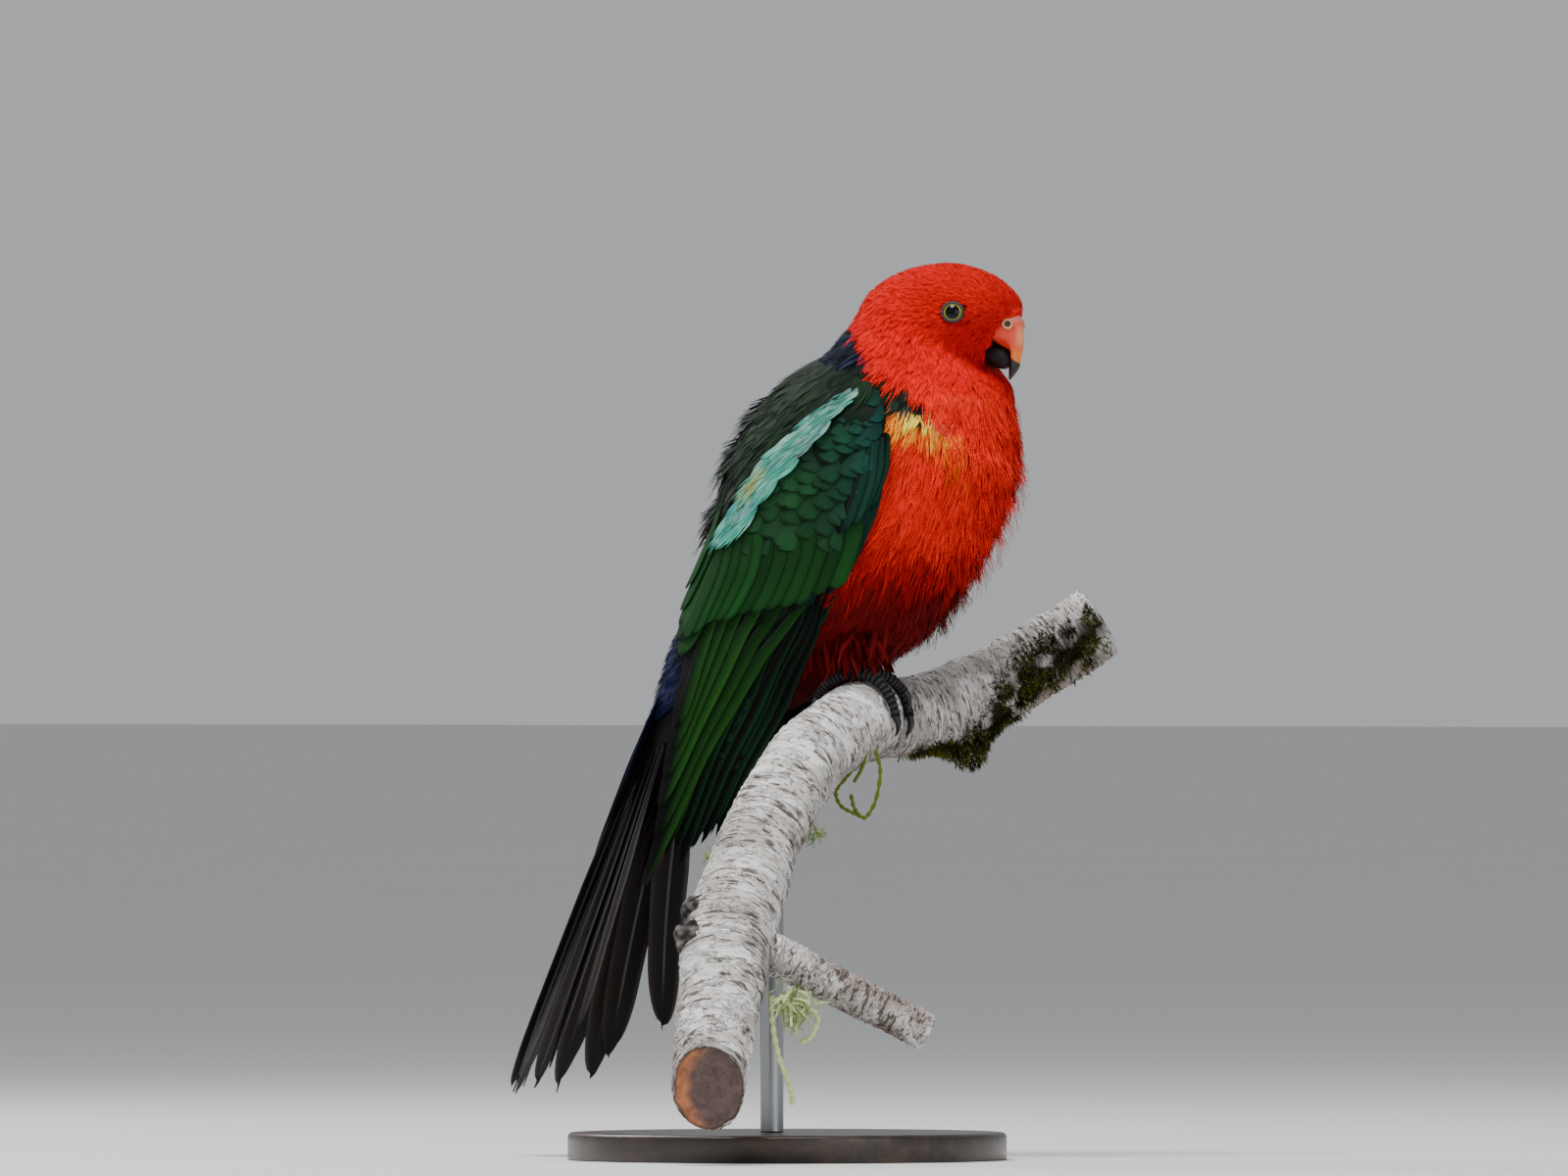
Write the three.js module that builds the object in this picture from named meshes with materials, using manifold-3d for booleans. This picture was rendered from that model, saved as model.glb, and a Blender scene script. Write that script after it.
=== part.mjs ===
// Male Australian king parrot, life size, at rest on a cut length of branch held by a plain display stand.
// Millimetres, +Z up. The bird faces +X and its right side faces -Y.
// The origin is the centre of the stand base's underside.
import * as THREE from 'three';
import { mergeVertices } from 'three/addons/utils/BufferGeometryUtils.js';
import Module from 'manifold-3d';

const wasm = await Module();
wasm.setup();

// Driving dimensions
const gap = 0.3; // air between touching pieces
const baseRadius = 95;
const baseThickness = 12;
const baseChamfer = 2;
const rodRadius = 5;
const birdOrigin = [15, 45, 202]; // where the bird's own frame stands, in the middle of its grip
const vaneThickness = 0.6;

// The body is lofted between its back line and its breast line, tail base first, in the bird's own frame.
// Each station gives the back and breast points as [x, z] and the half width across the body.
const bodyStations = [
  { name: 'tailBase', back: [-99, -10], front: [-73, -20], halfWidth: 13 },
  { name: 'vent', back: [-89.5, 18], front: [-42, -8], halfWidth: 22 },
  { name: 'belly', back: [-75, 44], front: [-8, 6], halfWidth: 33 },
  { name: 'lowerBreast', back: [-65, 71], front: [31, 20], halfWidth: 39 },
  { name: 'breast', back: [-54, 105], front: [57, 55], halfWidth: 41 },
  { name: 'upperBreast', back: [-36, 129], front: [70, 91], halfWidth: 40 },
  { name: 'neck', back: [-16, 145], front: [70, 119], halfWidth: 34 },
  { name: 'nape', back: [-3, 160], front: [68.5, 131.5], halfWidth: 28 },
  { name: 'hindCrown', back: [6, 174], front: [63, 138], halfWidth: 25 },
  { name: 'crown', back: [22, 183], front: [60, 141], halfWidth: 23.5 },
  { name: 'foreCrown', back: [43, 185.8], front: [61.5, 144], halfWidth: 21.5 },
  { name: 'forehead', back: [61, 181], front: [65, 149], halfWidth: 17 },
  { name: 'lores', back: [72.5, 172.5], front: [69, 155.5], halfWidth: 10 },
  { name: 'cere', back: [75.8, 165.5], front: [72, 159.5], halfWidth: 5 },
];
const stationIndex = Object.fromEntries(bodyStations.map((station, i) => [station.name, i]));

// The folded wings lie on their own loft, which follows the body and then runs on beside the tail.
const wingStations = [
  { name: 'tips', back: [-123, -84], front: [-71, -98], halfWidth: 31 },
  { name: 'overTail', back: [-113, -47], front: [-57, -66], halfWidth: 29 },
  { name: 'tailBase', back: [-101, -12], front: [-43, -37], halfWidth: 29 },
  { name: 'vent', back: [-90, 17], front: [-25, -17], halfWidth: 32 },
  { name: 'belly', back: [-78, 43], front: [-2, 2], halfWidth: 36.5 },
  { name: 'lowerBreast', back: [-66, 72], front: [31, 20], halfWidth: 40 },
  { name: 'breast', back: [-54, 105], front: [57, 55], halfWidth: 41.5 },
  { name: 'upperBreast', back: [-36, 129], front: [70, 91], halfWidth: 40.5 },
  { name: 'neck', back: [-16, 145], front: [69, 120], halfWidth: 34.5 },
];

const tailLength = 202;
const tailPitch = 66.7; // degrees below the horizon
const tailRoot = [-86.7, 15.4]; // where the top line of the tail starts, inside the rump

const degrees = Math.PI / 180;
const mix = (a, b, t) => a + (b - a) * t;
const clamp = (x, low, high) => Math.min(high, Math.max(low, x));
const vec = (x, y, z) => new THREE.Vector3(x, y, z);

// Cubic through evenly spaced values, clamped at the ends.
function spline(values, s) {
  const last = values.length - 1;
  const i = clamp(Math.floor(s), 0, last - 1);
  const t = s - i;
  const at = (k) => values[clamp(k, 0, last)];
  const before = i === 0 ? 2 * at(0) - at(1) : at(i - 1);
  const after = i === last - 1 ? 2 * at(last) - at(last - 1) : at(i + 2);
  const [p0, p1, p2, p3] = [before, at(i), at(i + 1), after];
  return 0.5 * (2 * p1 + (p2 - p0) * t + (2 * p0 - 5 * p1 + 4 * p2 - p3) * t * t
    + (3 * p1 - p0 - 3 * p2 + p3) * t * t * t);
}

function splinePoint(points, s) {
  return vec(...[0, 1, 2].map((axis) => spline(points.map((p) => p[axis]), s)));
}

// A loft's section at station s, grown outwards by offset.
function section(stations, s, offset = 0) {
  const value = (pick) => spline(stations.map(pick), s);
  const back = vec(value((q) => q.back[0]), 0, value((q) => q.back[1]));
  const front = vec(value((q) => q.front[0]), 0, value((q) => q.front[1]));
  const centre = back.clone().add(front).multiplyScalar(0.5);
  const half = back.clone().sub(front).multiplyScalar(0.5);
  half.setLength(half.length() + offset);
  return { centre, half, width: value((q) => q.halfWidth) + offset };
}

// Theta runs from the back line (0) over one side (90 degrees) to the breast line (180).
function loftPoint(stations, s, theta, offset, side) {
  const { centre, half, width } = section(stations, s, offset);
  return centre.clone().addScaledVector(half, Math.cos(theta)).add(vec(0, side * width * Math.sin(theta), 0));
}

function loftNormal(stations, s, theta, side) {
  const step = 0.02;
  const at = (ds, dTheta) => loftPoint(stations, s + ds, theta + dTheta, 0, side);
  const along = at(step, 0).sub(at(-step, 0));
  const round = at(0, step).sub(at(0, -step));
  const normal = along.cross(round).normalize();
  const outwards = at(0, 0).sub(section(stations, s).centre);
  return normal.dot(outwards) < 0 ? normal.negate() : normal;
}

function closedGeometry(points, faces) {
  const geometry = new THREE.BufferGeometry();
  const positions = points.flatMap((p) => [p.x, p.y, p.z]);
  geometry.setAttribute('position', new THREE.Float32BufferAttribute(positions, 3));
  geometry.setIndex(faces.flat());
  return geometry;
}

// A closed tube through rings of equal count, with a fan at each end.
function ringLoft(rings) {
  const count = rings[0].length;
  const points = rings.flat();
  const faces = [];
  for (let i = 0; i + 1 < rings.length; i += 1) {
    for (let j = 0; j < count; j += 1) {
      const [a, b] = [i * count + j, i * count + (j + 1) % count];
      faces.push([a, b, b + count], [a, b + count, a + count]);
    }
  }
  const middle = (ring) => ring.reduce((sum, p) => sum.add(p), vec(0, 0, 0)).divideScalar(count);
  const [first, last] = [points.length, points.length + 1];
  const end = (rings.length - 1) * count;
  points.push(middle(rings[0]), middle(rings[rings.length - 1]));
  for (let j = 0; j < count; j += 1) {
    const next = (j + 1) % count;
    faces.push([first, next, j], [last, end + j, end + next]);
  }
  return closedGeometry(points, faces);
}

// A closed plate between two grids of points, split alike on both faces.
function plate(top, bottom) {
  const [rows, columns] = [top.length, top[0].length];
  const points = [...top.flat(), ...bottom.flat()];
  const under = rows * columns;
  const faces = [];
  for (let i = 0; i + 1 < rows; i += 1) {
    for (let j = 0; j + 1 < columns; j += 1) {
      const a = i * columns + j;
      const [b, c, d] = [a + columns, a + columns + 1, a + 1];
      faces.push([a, b, c], [a, c, d]);
      faces.push([under + a, under + c, under + b], [under + a, under + d, under + c]);
    }
  }
  const rim = [];
  for (let j = 0; j < columns - 1; j += 1) rim.push(j);
  for (let i = 0; i < rows - 1; i += 1) rim.push(i * columns + columns - 1);
  for (let j = columns - 1; j > 0; j -= 1) rim.push((rows - 1) * columns + j);
  for (let i = rows - 1; i > 0; i -= 1) rim.push(i * columns);
  rim.forEach((a, k) => {
    const b = rim[(k + 1) % rim.length];
    faces.push([a, b, under + b], [a, under + b, under + a]);
  });
  return closedGeometry(points, faces);
}

// A geometry as a manifold solid, turned outwards if it faces inwards.
function solid(geometry) {
  const bare = new THREE.BufferGeometry();
  const loose = geometry.index ? geometry.toNonIndexed() : geometry;
  bare.setAttribute('position', loose.getAttribute('position'));
  const merged = mergeVertices(bare, 1e-4);
  const make = (triVerts) => new wasm.Manifold(new wasm.Mesh({
    numProp: 3, vertProperties: merged.attributes.position.array, triVerts,
  }));
  const made = make(new Uint32Array(merged.index.array));
  return made.volume() < 0 ? make(new Uint32Array(merged.index.array).reverse()) : made;
}

const join = (pieces) => pieces.reduce((sum, piece) => sum.add(piece));
const largest = (made) => made.decompose().reduce((a, b) => (a.volume() > b.volume() ? a : b));

function movedSphere(radius, centre, across = 12, down = 8) {
  return solid(new THREE.SphereGeometry(radius, across, down).translate(centre.x, centre.y, centre.z));
}

// A geometry that runs along +Z, turned to run along a direction from a point.
function aimed(geometry, point, direction) {
  const turn = new THREE.Quaternion().setFromUnitVectors(vec(0, 0, 1), direction.clone().normalize());
  return geometry.applyQuaternion(turn).translate(point.x, point.y, point.z);
}

function loftSolid(stations, offset, stepsPerStation, around) {
  const steps = (stations.length - 1) * stepsPerStation;
  return solid(ringLoft(Array.from({ length: steps + 1 }, (_, i) => Array.from({ length: around },
    (__, j) => loftPoint(stations, i / stepsPerStation, j / around * 2 * Math.PI, offset, 1)))));
}

// Body: one loft, parted into head, neck and torso by thin cuts
const bodySolid = (offset) => loftSolid(bodyStations, offset, 2, 24);

// A slab as thick as the gap across station s, wide enough to part the body there.
function partingSlab(s) {
  const { centre, half } = section(bodyStations, s);
  const size = 200;
  const normal = vec(half.z, 0, -half.x).normalize();
  return solid(aimed(new THREE.BoxGeometry(size, size, gap), centre, normal));
}

function partedBody() {
  const cuts = [stationIndex.neck + 0.1, stationIndex.nape + 0.45].map(partingSlab);
  const pieces = cuts.reduce((body, cut) => body.subtract(cut), bodySolid(0)).decompose();
  const height = (piece) => piece.boundingBox().max[2];
  pieces.sort((a, b) => height(a) - height(b));
  return pieces;
}

// Eyes
const eyePlace = { s: stationIndex.crown + 1.05, theta: 90.7 * degrees };
const eyeRadius = 5.2;
const eyeDepth = 3.3;
const lidRadius = 4.3;
const lidThickness = 0.8;

function eyeFrame(side) {
  const point = loftPoint(bodyStations, eyePlace.s, eyePlace.theta, 0, side);
  const normal = loftNormal(bodyStations, eyePlace.s, eyePlace.theta, side);
  return { point, normal, centre: point.clone().addScaledVector(normal, -eyeDepth) };
}

function withEyeSockets(head) {
  return [-1, 1].reduce((made, side) => {
    const { point, normal, centre } = eyeFrame(side);
    const lid = solid(aimed(new THREE.TorusGeometry(lidRadius, lidThickness, 4, 14), point, normal));
    return made.add(lid).subtract(movedSphere(eyeRadius + gap, centre));
  }, head);
}

// Bill: both halves are lofts between an outer and an inner line, root first
const upperBill = [
  { back: [62, 166], front: [60, 149.5], halfWidth: 8 },
  { back: [72, 165], front: [66.5, 149.6], halfWidth: 8 },
  { back: [75.4, 161.3], front: [69, 149], halfWidth: 7.2 },
  { back: [76.4, 155], front: [71.2, 147.6], halfWidth: 6 },
  { back: [76.5, 149.5], front: [72, 146], halfWidth: 4.8 },
  { back: [75.9, 144.5], front: [71.3, 143.5], halfWidth: 3.7 },
  { back: [74.3, 140], front: [70.2, 141], halfWidth: 2.6 },
  { back: [70.6, 135.4], front: [69.9, 136], halfWidth: 0.7 },
];
const lowerBill = [
  { back: [59, 153], front: [59, 140.5], halfWidth: 7.6 },
  { back: [66.3, 151.5], front: [65, 140.2], halfWidth: 7.1 },
  { back: [71.2, 149], front: [69, 140.6], halfWidth: 5.8 },
  { back: [72.6, 145], front: [71.5, 142.4], halfWidth: 3 },
];
const nostril = {
  place: [72.4, 6.95, 159.55], normal: [0.47, 0.85, 0.24],
  ringRadius: 1.9, ringThickness: 0.7, holeRadius: 1.1, holeDepth: 3,
};

function withNostrils(bill) {
  return [-1, 1].reduce((made, side) => {
    const [x, y, z] = nostril.place;
    const point = vec(x, side * y, z);
    const normal = vec(nostril.normal[0], side * nostril.normal[1], nostril.normal[2]).normalize();
    const torus = new THREE.TorusGeometry(nostril.ringRadius, nostril.ringThickness, 4, 8);
    const { holeRadius, holeDepth } = nostril;
    const drill = new THREE.CylinderGeometry(holeRadius, holeRadius, holeDepth * 2, 8);
    const ring = solid(aimed(torus, point, normal));
    const hole = solid(aimed(drill.rotateX(Math.PI / 2), point, normal));
    return made.add(ring).subtract(hole);
  }, bill);
}

// Feathers: a vane is a thin plate, narrow at its root and blunt at its tip.
// pointAt(t, edge, height) gives its points: t runs along it, edge from -1 to 1 across it.
const tipStart = 0.86;
const vaneTilt = 0.95; // how far a vane's edges stand over and under its shaft, so that it laps its neighbour

function vane(pointAt, steps, rootShare, tipShare) {
  const faces = [1, -1].map((way) => Array.from({ length: steps + 1 }, (_, i) => {
    const t = i === steps ? 1 : i / (steps - 1) * tipStart;
    const share = i === steps ? tipShare : Math.min(1, mix(rootShare, 1, t * 2.5));
    return [-1, 0, 1].map((edge) => pointAt(t, edge * share, way * vaneThickness / 2));
  }));
  return solid(plate(...faces));
}

// Feather tiers of the folded wing, from its leading edge (first place) to its edge along the back (last).
// Places are [station of the wing's loft, degrees round it], offsets are heights over the loft.
const wingTiers = [
  { name: 'primaries', count: 7, root: [[5, 104], [4.6, 68]], tip: [[0.6, 120], [1.9, 66]], bow: 12,
    halfWidth: [4.2, 4.8], offsets: [1.8, 2], steps: 4 },
  { name: 'secondaries', count: 6, root: [[5.3, 101], [5.4, 44]], tip: [[3.5, 112], [2.4, 46]], bow: 3,
    halfWidth: [6, 6.4], offsets: [2.2, 4.8], steps: 3 },
  { name: 'tertials', count: 2, root: [[5.7, 40], [5.7, 29]], tip: [[3, 36], [3.8, 23]], bow: 0,
    halfWidth: [6.5, 6], offsets: [2.6, 5.6], steps: 3 },
  { name: 'greaterCoverts', count: 7, root: [[6.1, 94], [6.2, 42]], tip: [[4.9, 99], [4.4, 40]], bow: 0,
    halfWidth: [5.8, 6.6], offsets: [3, 6.4], steps: 2 },
  { name: 'primaryCoverts', count: 2, root: [[7.1, 101], [6.8, 95]], tip: [[5.1, 108], [4.8, 100]], bow: 1,
    halfWidth: [3.6, 5], offsets: [2, 3.4], steps: 3 },
  { name: 'medianCoverts', count: 6, root: [[6.8, 93], [6.6, 44]], tip: [[5.6, 97], [5.2, 42]], bow: 0,
    halfWidth: [6.6, 7.2], offsets: [3.4, 7.2], steps: 2 },
  { name: 'lowerLesserCoverts', count: 5, root: [[7.3, 91], [7, 50]], tip: [[6.3, 95], [5.95, 47]], bow: 0,
    halfWidth: [7, 7.8], offsets: [3.6, 7.8], steps: 2 },
  { name: 'upperLesserCoverts', count: 4, root: [[7.65, 90], [7.5, 58]], tip: [[6.85, 92], [6.6, 52]], bow: 0,
    halfWidth: [7.4, 8.4], offsets: [3.2, 8.2], steps: 2 },
  { name: 'hindScapulars', count: 3, root: [[6.7, 36], [6.7, 20]], tip: [[4.9, 31], [5.1, 15]], bow: 0,
    halfWidth: [6, 6], offsets: [1.8, 4.4], steps: 2 },
  { name: 'scapulars', count: 4, root: [[7.6, 52], [7.7, 24]], tip: [[6.3, 40], [6, 15]], bow: 0,
    halfWidth: [7, 6], offsets: [2.6, 8.4], steps: 2 },
];

function tierVanes({ count, root, tip, bow, halfWidth, offsets, steps }, side) {
  return Array.from({ length: count }, (_, k) => {
    const f = k / (count - 1);
    const between = ([a, b]) => [mix(a[0], b[0], f), mix(a[1], b[1], f)];
    const [[rootStation, rootTheta], [tipStation, tipTheta]] = [between(root), between(tip)];
    return vane((t, edge, height) => {
      const s = mix(rootStation, tipStation, t);
      const theta = (mix(rootTheta, tipTheta, t) + bow * (1 - f) * 4 * t * (1 - t)) * degrees;
      const turn = edge * mix(...halfWidth, f) / section(wingStations, s).width;
      return loftPoint(wingStations, s, theta + turn, mix(...offsets, t) + height - vaneTilt * edge, side);
    }, steps, 0.5, 0.5);
  });
}

// The arm and hand inside the coverts: a slab on the loft, thickest along the leading edge
const wingArm = {
  stations: [7.75, 7.4, 6.5, 5.5, 4.3],
  leading: [95, 99, 105, 107, 106],
  trailing: [78, 50, 32, 34, 60],
  thickness: [1.4, 3.2, 3.8, 3, 1.4],
};

function wingArmSolid(side) {
  const columns = 4;
  const grid = (height) => wingArm.stations.map((s, i) => Array.from({ length: columns + 1 }, (_, j) => {
    const f = j / columns;
    const theta = mix(wingArm.leading[i], wingArm.trailing[i], f) * degrees;
    const rounded = Math.sqrt(Math.max(0, 1 - (2 * f - 1) ** 4));
    const offset = height === 0 ? gap + 0.4 : gap + 0.9 + wingArm.thickness[i] * rounded * mix(1, 0.8, f);
    return loftPoint(wingStations, s, theta, offset, side);
  }));
  return solid(plate(grid(1), grid(0)));
}

function wingSolid(side, keptClear) {
  const feathers = wingTiers.flatMap((tier) => tierVanes(tier, side));
  return largest(join([wingArmSolid(side), ...feathers]).subtract(keptClear));
}

// Tail: twelve rectrices under one another in an arched fan, with the coverts above and below, from one root
const tailAlong = vec(-Math.cos(tailPitch * degrees), 0, -Math.sin(tailPitch * degrees));
const tailUnder = vec(Math.sin(tailPitch * degrees), 0, -Math.cos(tailPitch * degrees));
const rectrixShares = [1, 0.985, 0.965, 0.935, 0.88, 0.79]; // lengths from the middle pair outwards
const rectrixHalfWidth = 8.5;
const rectrixFan = [1, 5.5, 12.2, 21.3, 24, 46.3]; // how far each has spread to its side at its tip
const rectrixDrop = [0, 2.5, 7.6, 15.3, 19.6, 38.5]; // and dropped under the top line
const tailRootRings = [ // distance along the tail, depth under its top line, half depth and half width
  [14, 11, 12, 13], [34, 11, 12, 13], [52, 9, 9, 10.5], [68, 8, 6, 8],
];

function tailPoint(distance, across, under) {
  return vec(tailRoot[0], 0, tailRoot[1]).addScaledVector(tailAlong, distance)
    .addScaledVector(tailUnder, under).add(vec(0, across, 0));
}

// A feather of the tail fans out (mm at the root, mm more at the tip) and drops below the top line likewise.
function tailVane({ side, from, to, fan, drop, halfWidth, steps }) {
  const slope = Math.atan2(drop[1], fan[1] + 6);
  return vane((t, edge, height) => {
    const d = mix(from, to, t);
    const spread = (d / tailLength) ** 1.6;
    const [across, over] = [edge * halfWidth, -height];
    return tailPoint(d,
      side * (fan[0] + fan[1] * spread + across * Math.cos(slope) - over * Math.sin(slope)),
      drop[0] + drop[1] * spread + across * Math.sin(slope) + over * Math.cos(slope));
  }, steps, 0.55, 0.6);
}

function tailSolid(keptClear) {
  const around = 14;
  const ring = ([distance, under, halfDepth, halfWidth]) => Array.from({ length: around }, (_, j) => {
    const angle = j / around * 2 * Math.PI;
    return tailPoint(distance, halfWidth * Math.sin(angle), under + halfDepth * Math.cos(angle));
  });
  const feathers = [-1, 1].flatMap((side) => [
    ...rectrixShares.map((share, k) => tailVane({
      side, from: 36, to: tailLength * share, fan: [1.8 + 1.6 * k, rectrixFan[k]],
      drop: [2 * k + (side > 0 ? 1 : 0), rectrixDrop[k]], halfWidth: rectrixHalfWidth, steps: 4,
    })),
    ...[0, 1, 2].map((k) => tailVane({
      side, from: 20, to: 92 - 12 * k, fan: [1.5 + 3.4 * k, 6 + 8 * k],
      drop: [-1.6 + 1.4 * k, 2 * k], halfWidth: 6, steps: 2,
    })),
    ...[0, 1].map((k) => tailVane({
      side, from: 32, to: 96 - 10 * k, fan: [2 + 4.5 * k, 8 + 6 * k],
      drop: [20 - 2 * k, 5], halfWidth: 6, steps: 2,
    })),
  ]);
  return largest(join([solid(ringLoft(tailRootRings.map(ring))), ...feathers]).subtract(keptClear));
}

// Perch: a cut branch along a bent line from the near cut end to the far one
const perchLine = [
  [19.9, -200.3, -168.3], [8.3, -161.6, -127.5], [-0.3, -127, -93.5], [-5.5, -90.8, -61.6],
  [-3.4, -51.2, -29.8], [6.7, -16.7, -11.5], [-5.5, 17, -12.6], [7, 45.2, -9],
  [25.1, 66.9, 0], [44.8, 84.8, 14], [65.4, 101.1, 30],
];
const perchRadii = [16.2, 18.5, 19.5, 18.2, 17.8, 17.8, 17.6, 17.6, 17.8, 17.6, 17.2];
const nearCutNormal = vec(0.3, -0.93, -0.2); // a slanting saw cut
const perchKnots = [[1.8, 7.5], [1.45, 8.5]]; // station and radius

function perchFrame(s) {
  const point = splinePoint(perchLine, s);
  const along = splinePoint(perchLine, s + 0.02).sub(splinePoint(perchLine, s - 0.02)).normalize();
  const level = vec(0, 0, 1).cross(along).normalize(); // points to the bird's back
  return { point, along, level, up: along.clone().cross(level).normalize(), radius: spline(perchRadii, s) };
}

// Angle 0 is the top of the branch and 90 degrees its front.
function perchPoint(s, angle, height) {
  const { point, level, up, radius } = perchFrame(s);
  return point.clone().addScaledVector(up, (radius + height) * Math.cos(angle))
    .addScaledVector(level, -(radius + height) * Math.sin(angle));
}

function perchSolid(offset) {
  const [steps, around] = [20, 16];
  const rings = [];
  for (let i = 0; i <= steps; i += 1) {
    const s = i / steps * (perchLine.length - 1);
    const ring = Array.from({ length: around }, (_, j) => perchPoint(s, j / around * 2 * Math.PI, offset));
    if (i === 0) {
      const { point, along } = perchFrame(s);
      const slant = nearCutNormal.dot(along);
      ring.forEach((p) => p.addScaledVector(along, nearCutNormal.dot(point.clone().sub(p)) / slant));
    }
    rings.push(ring);
  }
  const knots = perchKnots.map(([s, radius]) => (
    movedSphere(radius + offset, perchPoint(s, -90 * degrees, -5), 8, 6)));
  return join([solid(ringLoft(rings)), twigSolid(offset), ...knots]);
}

function circle(centre, up, side, radius, count) {
  return Array.from({ length: count }, (_, j) => {
    const angle = j / count * 2 * Math.PI;
    return centre.clone().addScaledVector(up, radius * Math.cos(angle))
      .addScaledVector(side, radius * Math.sin(angle));
  });
}

// A side twig, cut short
const twigLine = [
  [8.5, -133.9, -107.5], [26.5, -122.2, -117.7], [49.9, -106.9, -131.8], [73.2, -91.6, -145.8],
];
const twigRadii = [10.5, 9.5, 9, 8.8];

function twigSolid(offset) {
  const rings = [];
  for (let i = 0; i <= 8; i += 1) {
    const s = i / 8 * (twigLine.length - 1);
    const point = splinePoint(twigLine, s);
    const along = splinePoint(twigLine, s + 0.02).sub(splinePoint(twigLine, s - 0.02)).normalize();
    const side = along.clone().cross(vec(0, 0, 1)).normalize();
    const up = side.clone().cross(along);
    rings.push(circle(point, up, side, spline(twigRadii, s) + offset, 10));
  }
  return solid(ringLoft(rings));
}

// Feet: two toes forwards and two back round the perch, each with its claw, and a shank up into the belly
const footStations = { '-1': 5, 1: 6 };
const toes = [ // spread along the perch, outer toes below 0; degrees round it; radius
  { spread: -0.1, from: 2, to: 84, radius: 3.1 },
  { spread: 0.24, from: 2, to: 56, radius: 3 },
  { spread: -0.16, from: -2, to: -54, radius: 3 },
  { spread: 0.14, from: -2, to: -44, radius: 2.7 },
];
const clawTurn = 27; // degrees round the perch that the claw reaches past its toe
const shankRadius = 3.6;
const toeLift = 0.7; // air between the middle of a toe's facets and the round of the perch

function tube(points, radii, around = 6) {
  const rings = points.map((point, i) => {
    const [before, after] = [points[Math.max(i - 1, 0)], points[Math.min(i + 1, points.length - 1)]];
    const along = after.clone().sub(before).normalize();
    const side = along.clone().cross(Math.abs(along.y) > 0.9 ? vec(1, 0, 0) : vec(0, 1, 0)).normalize();
    return circle(point, side, side.clone().cross(along), radii[i], around);
  });
  return solid(ringLoft(rings));
}

function toeSolids(side, toe) {
  const place = (angle, spread, height) => (
    perchPoint(footStations[side] - side * spread, angle * degrees, height));
  const way = Math.sign(toe.to);
  const steps = 3;
  const [toePoints, toeRadii] = [[], []];
  for (let i = 0; i <= steps; i += 1) {
    const t = i / steps;
    const radius = toe.radius * mix(1, 0.72, t);
    toePoints.push(place(mix(toe.from, toe.to, t), toe.spread * t, radius + toeLift));
    toeRadii.push(radius);
  }
  const clawHeights = [1.6, 2.6, 2.4, 1.2];
  const clawRadii = [2, 1.5, 1, 0.4];
  const clawPoints = clawHeights.map((height, i) => place(
    toe.to + way * clawTurn * (i / (clawHeights.length - 1) - 0.12), toe.spread, height + toeLift));
  return [tube(toePoints, toeRadii), tube(clawPoints, clawRadii, 5)];
}

function legSolid(side, keptClear) {
  const ankle = perchPoint(footStations[side], 0, shankRadius + gap);
  const knee = ankle.clone().add(vec(-9, side * 1, 17));
  const shank = tube([ankle, knee], [shankRadius, shankRadius + 0.6]);
  const padRadius = shankRadius + 0.6;
  const pad = movedSphere(padRadius, perchPoint(footStations[side], 0, padRadius + gap), 8, 6);
  return largest(join([pad, shank, ...toes.flatMap((toe) => toeSolids(side, toe))]).subtract(keptClear));
}

// Stand
function standBase() {
  const profile = [
    [0, 0], [baseRadius, 0], [baseRadius, baseThickness - baseChamfer],
    [baseRadius - baseChamfer, baseThickness], [0, baseThickness],
  ].map(([r, z]) => new THREE.Vector2(r, z));
  return solid(new THREE.LatheGeometry(profile, 40).rotateX(Math.PI / 2));
}

const rodPlace = [-5, -82]; // in the bird's own frame
const rodTop = -54; // inside the perch, which is cut clear

function standRod(perchInflated) {
  const rodBottom = baseThickness + gap - birdOrigin[2];
  const rod = new THREE.CylinderGeometry(rodRadius, rodRadius, rodTop - rodBottom, 16).rotateX(Math.PI / 2);
  return largest(solid(rod.translate(...rodPlace, (rodBottom + rodTop) / 2)).subtract(perchInflated));
}

// Materials, as in the photograph
const finish = (color, roughness, metalness = 0) => (
  new THREE.MeshStandardMaterial({ color, roughness, metalness }));
const scarlet = finish(0xc8150c, 0.8);
const darkGreen = finish(0x123c2a, 0.65);
const tailBlack = finish(0x14141c, 0.55);
const billOrange = finish(0xe0492a, 0.35);
const billBlack = finish(0x17161a, 0.4);
const eyeDark = finish(0x0a0a0c, 0.1);
const footGrey = finish(0x35343a, 0.7);
const bark = finish(0xbdb6ac, 0.9);
const standSteel = finish(0x8d9094, 0.35, 0.9);
const standWood = finish(0x3b2d24, 0.5);

function meshOf(name, made, material) {
  const { vertProperties, triVerts, numProp } = made.getMesh();
  const positions = [];
  for (let i = 0; i < vertProperties.length; i += numProp) positions.push(...vertProperties.slice(i, i + 3));
  const geometry = new THREE.BufferGeometry();
  geometry.setAttribute('position', new THREE.Float32BufferAttribute(positions, 3));
  geometry.setIndex([...triVerts]);
  const mesh = new THREE.Mesh(geometry, material);
  mesh.name = name;
  return mesh;
}

// Assembly
const bodyInflated = bodySolid(gap);
const [torso, neck, bareHead] = partedBody();
const perchInflated = perchSolid(gap);
const upper = withNostrils(loftSolid(upperBill, 0, 2, 12)).subtract(bodyInflated);
const upperInflated = loftSolid(upperBill, gap, 2, 12);
const lower = loftSolid(lowerBill, 0, 2, 12).subtract(bodyInflated).subtract(upperInflated);
const tail = tailSolid(bodyInflated);

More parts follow.
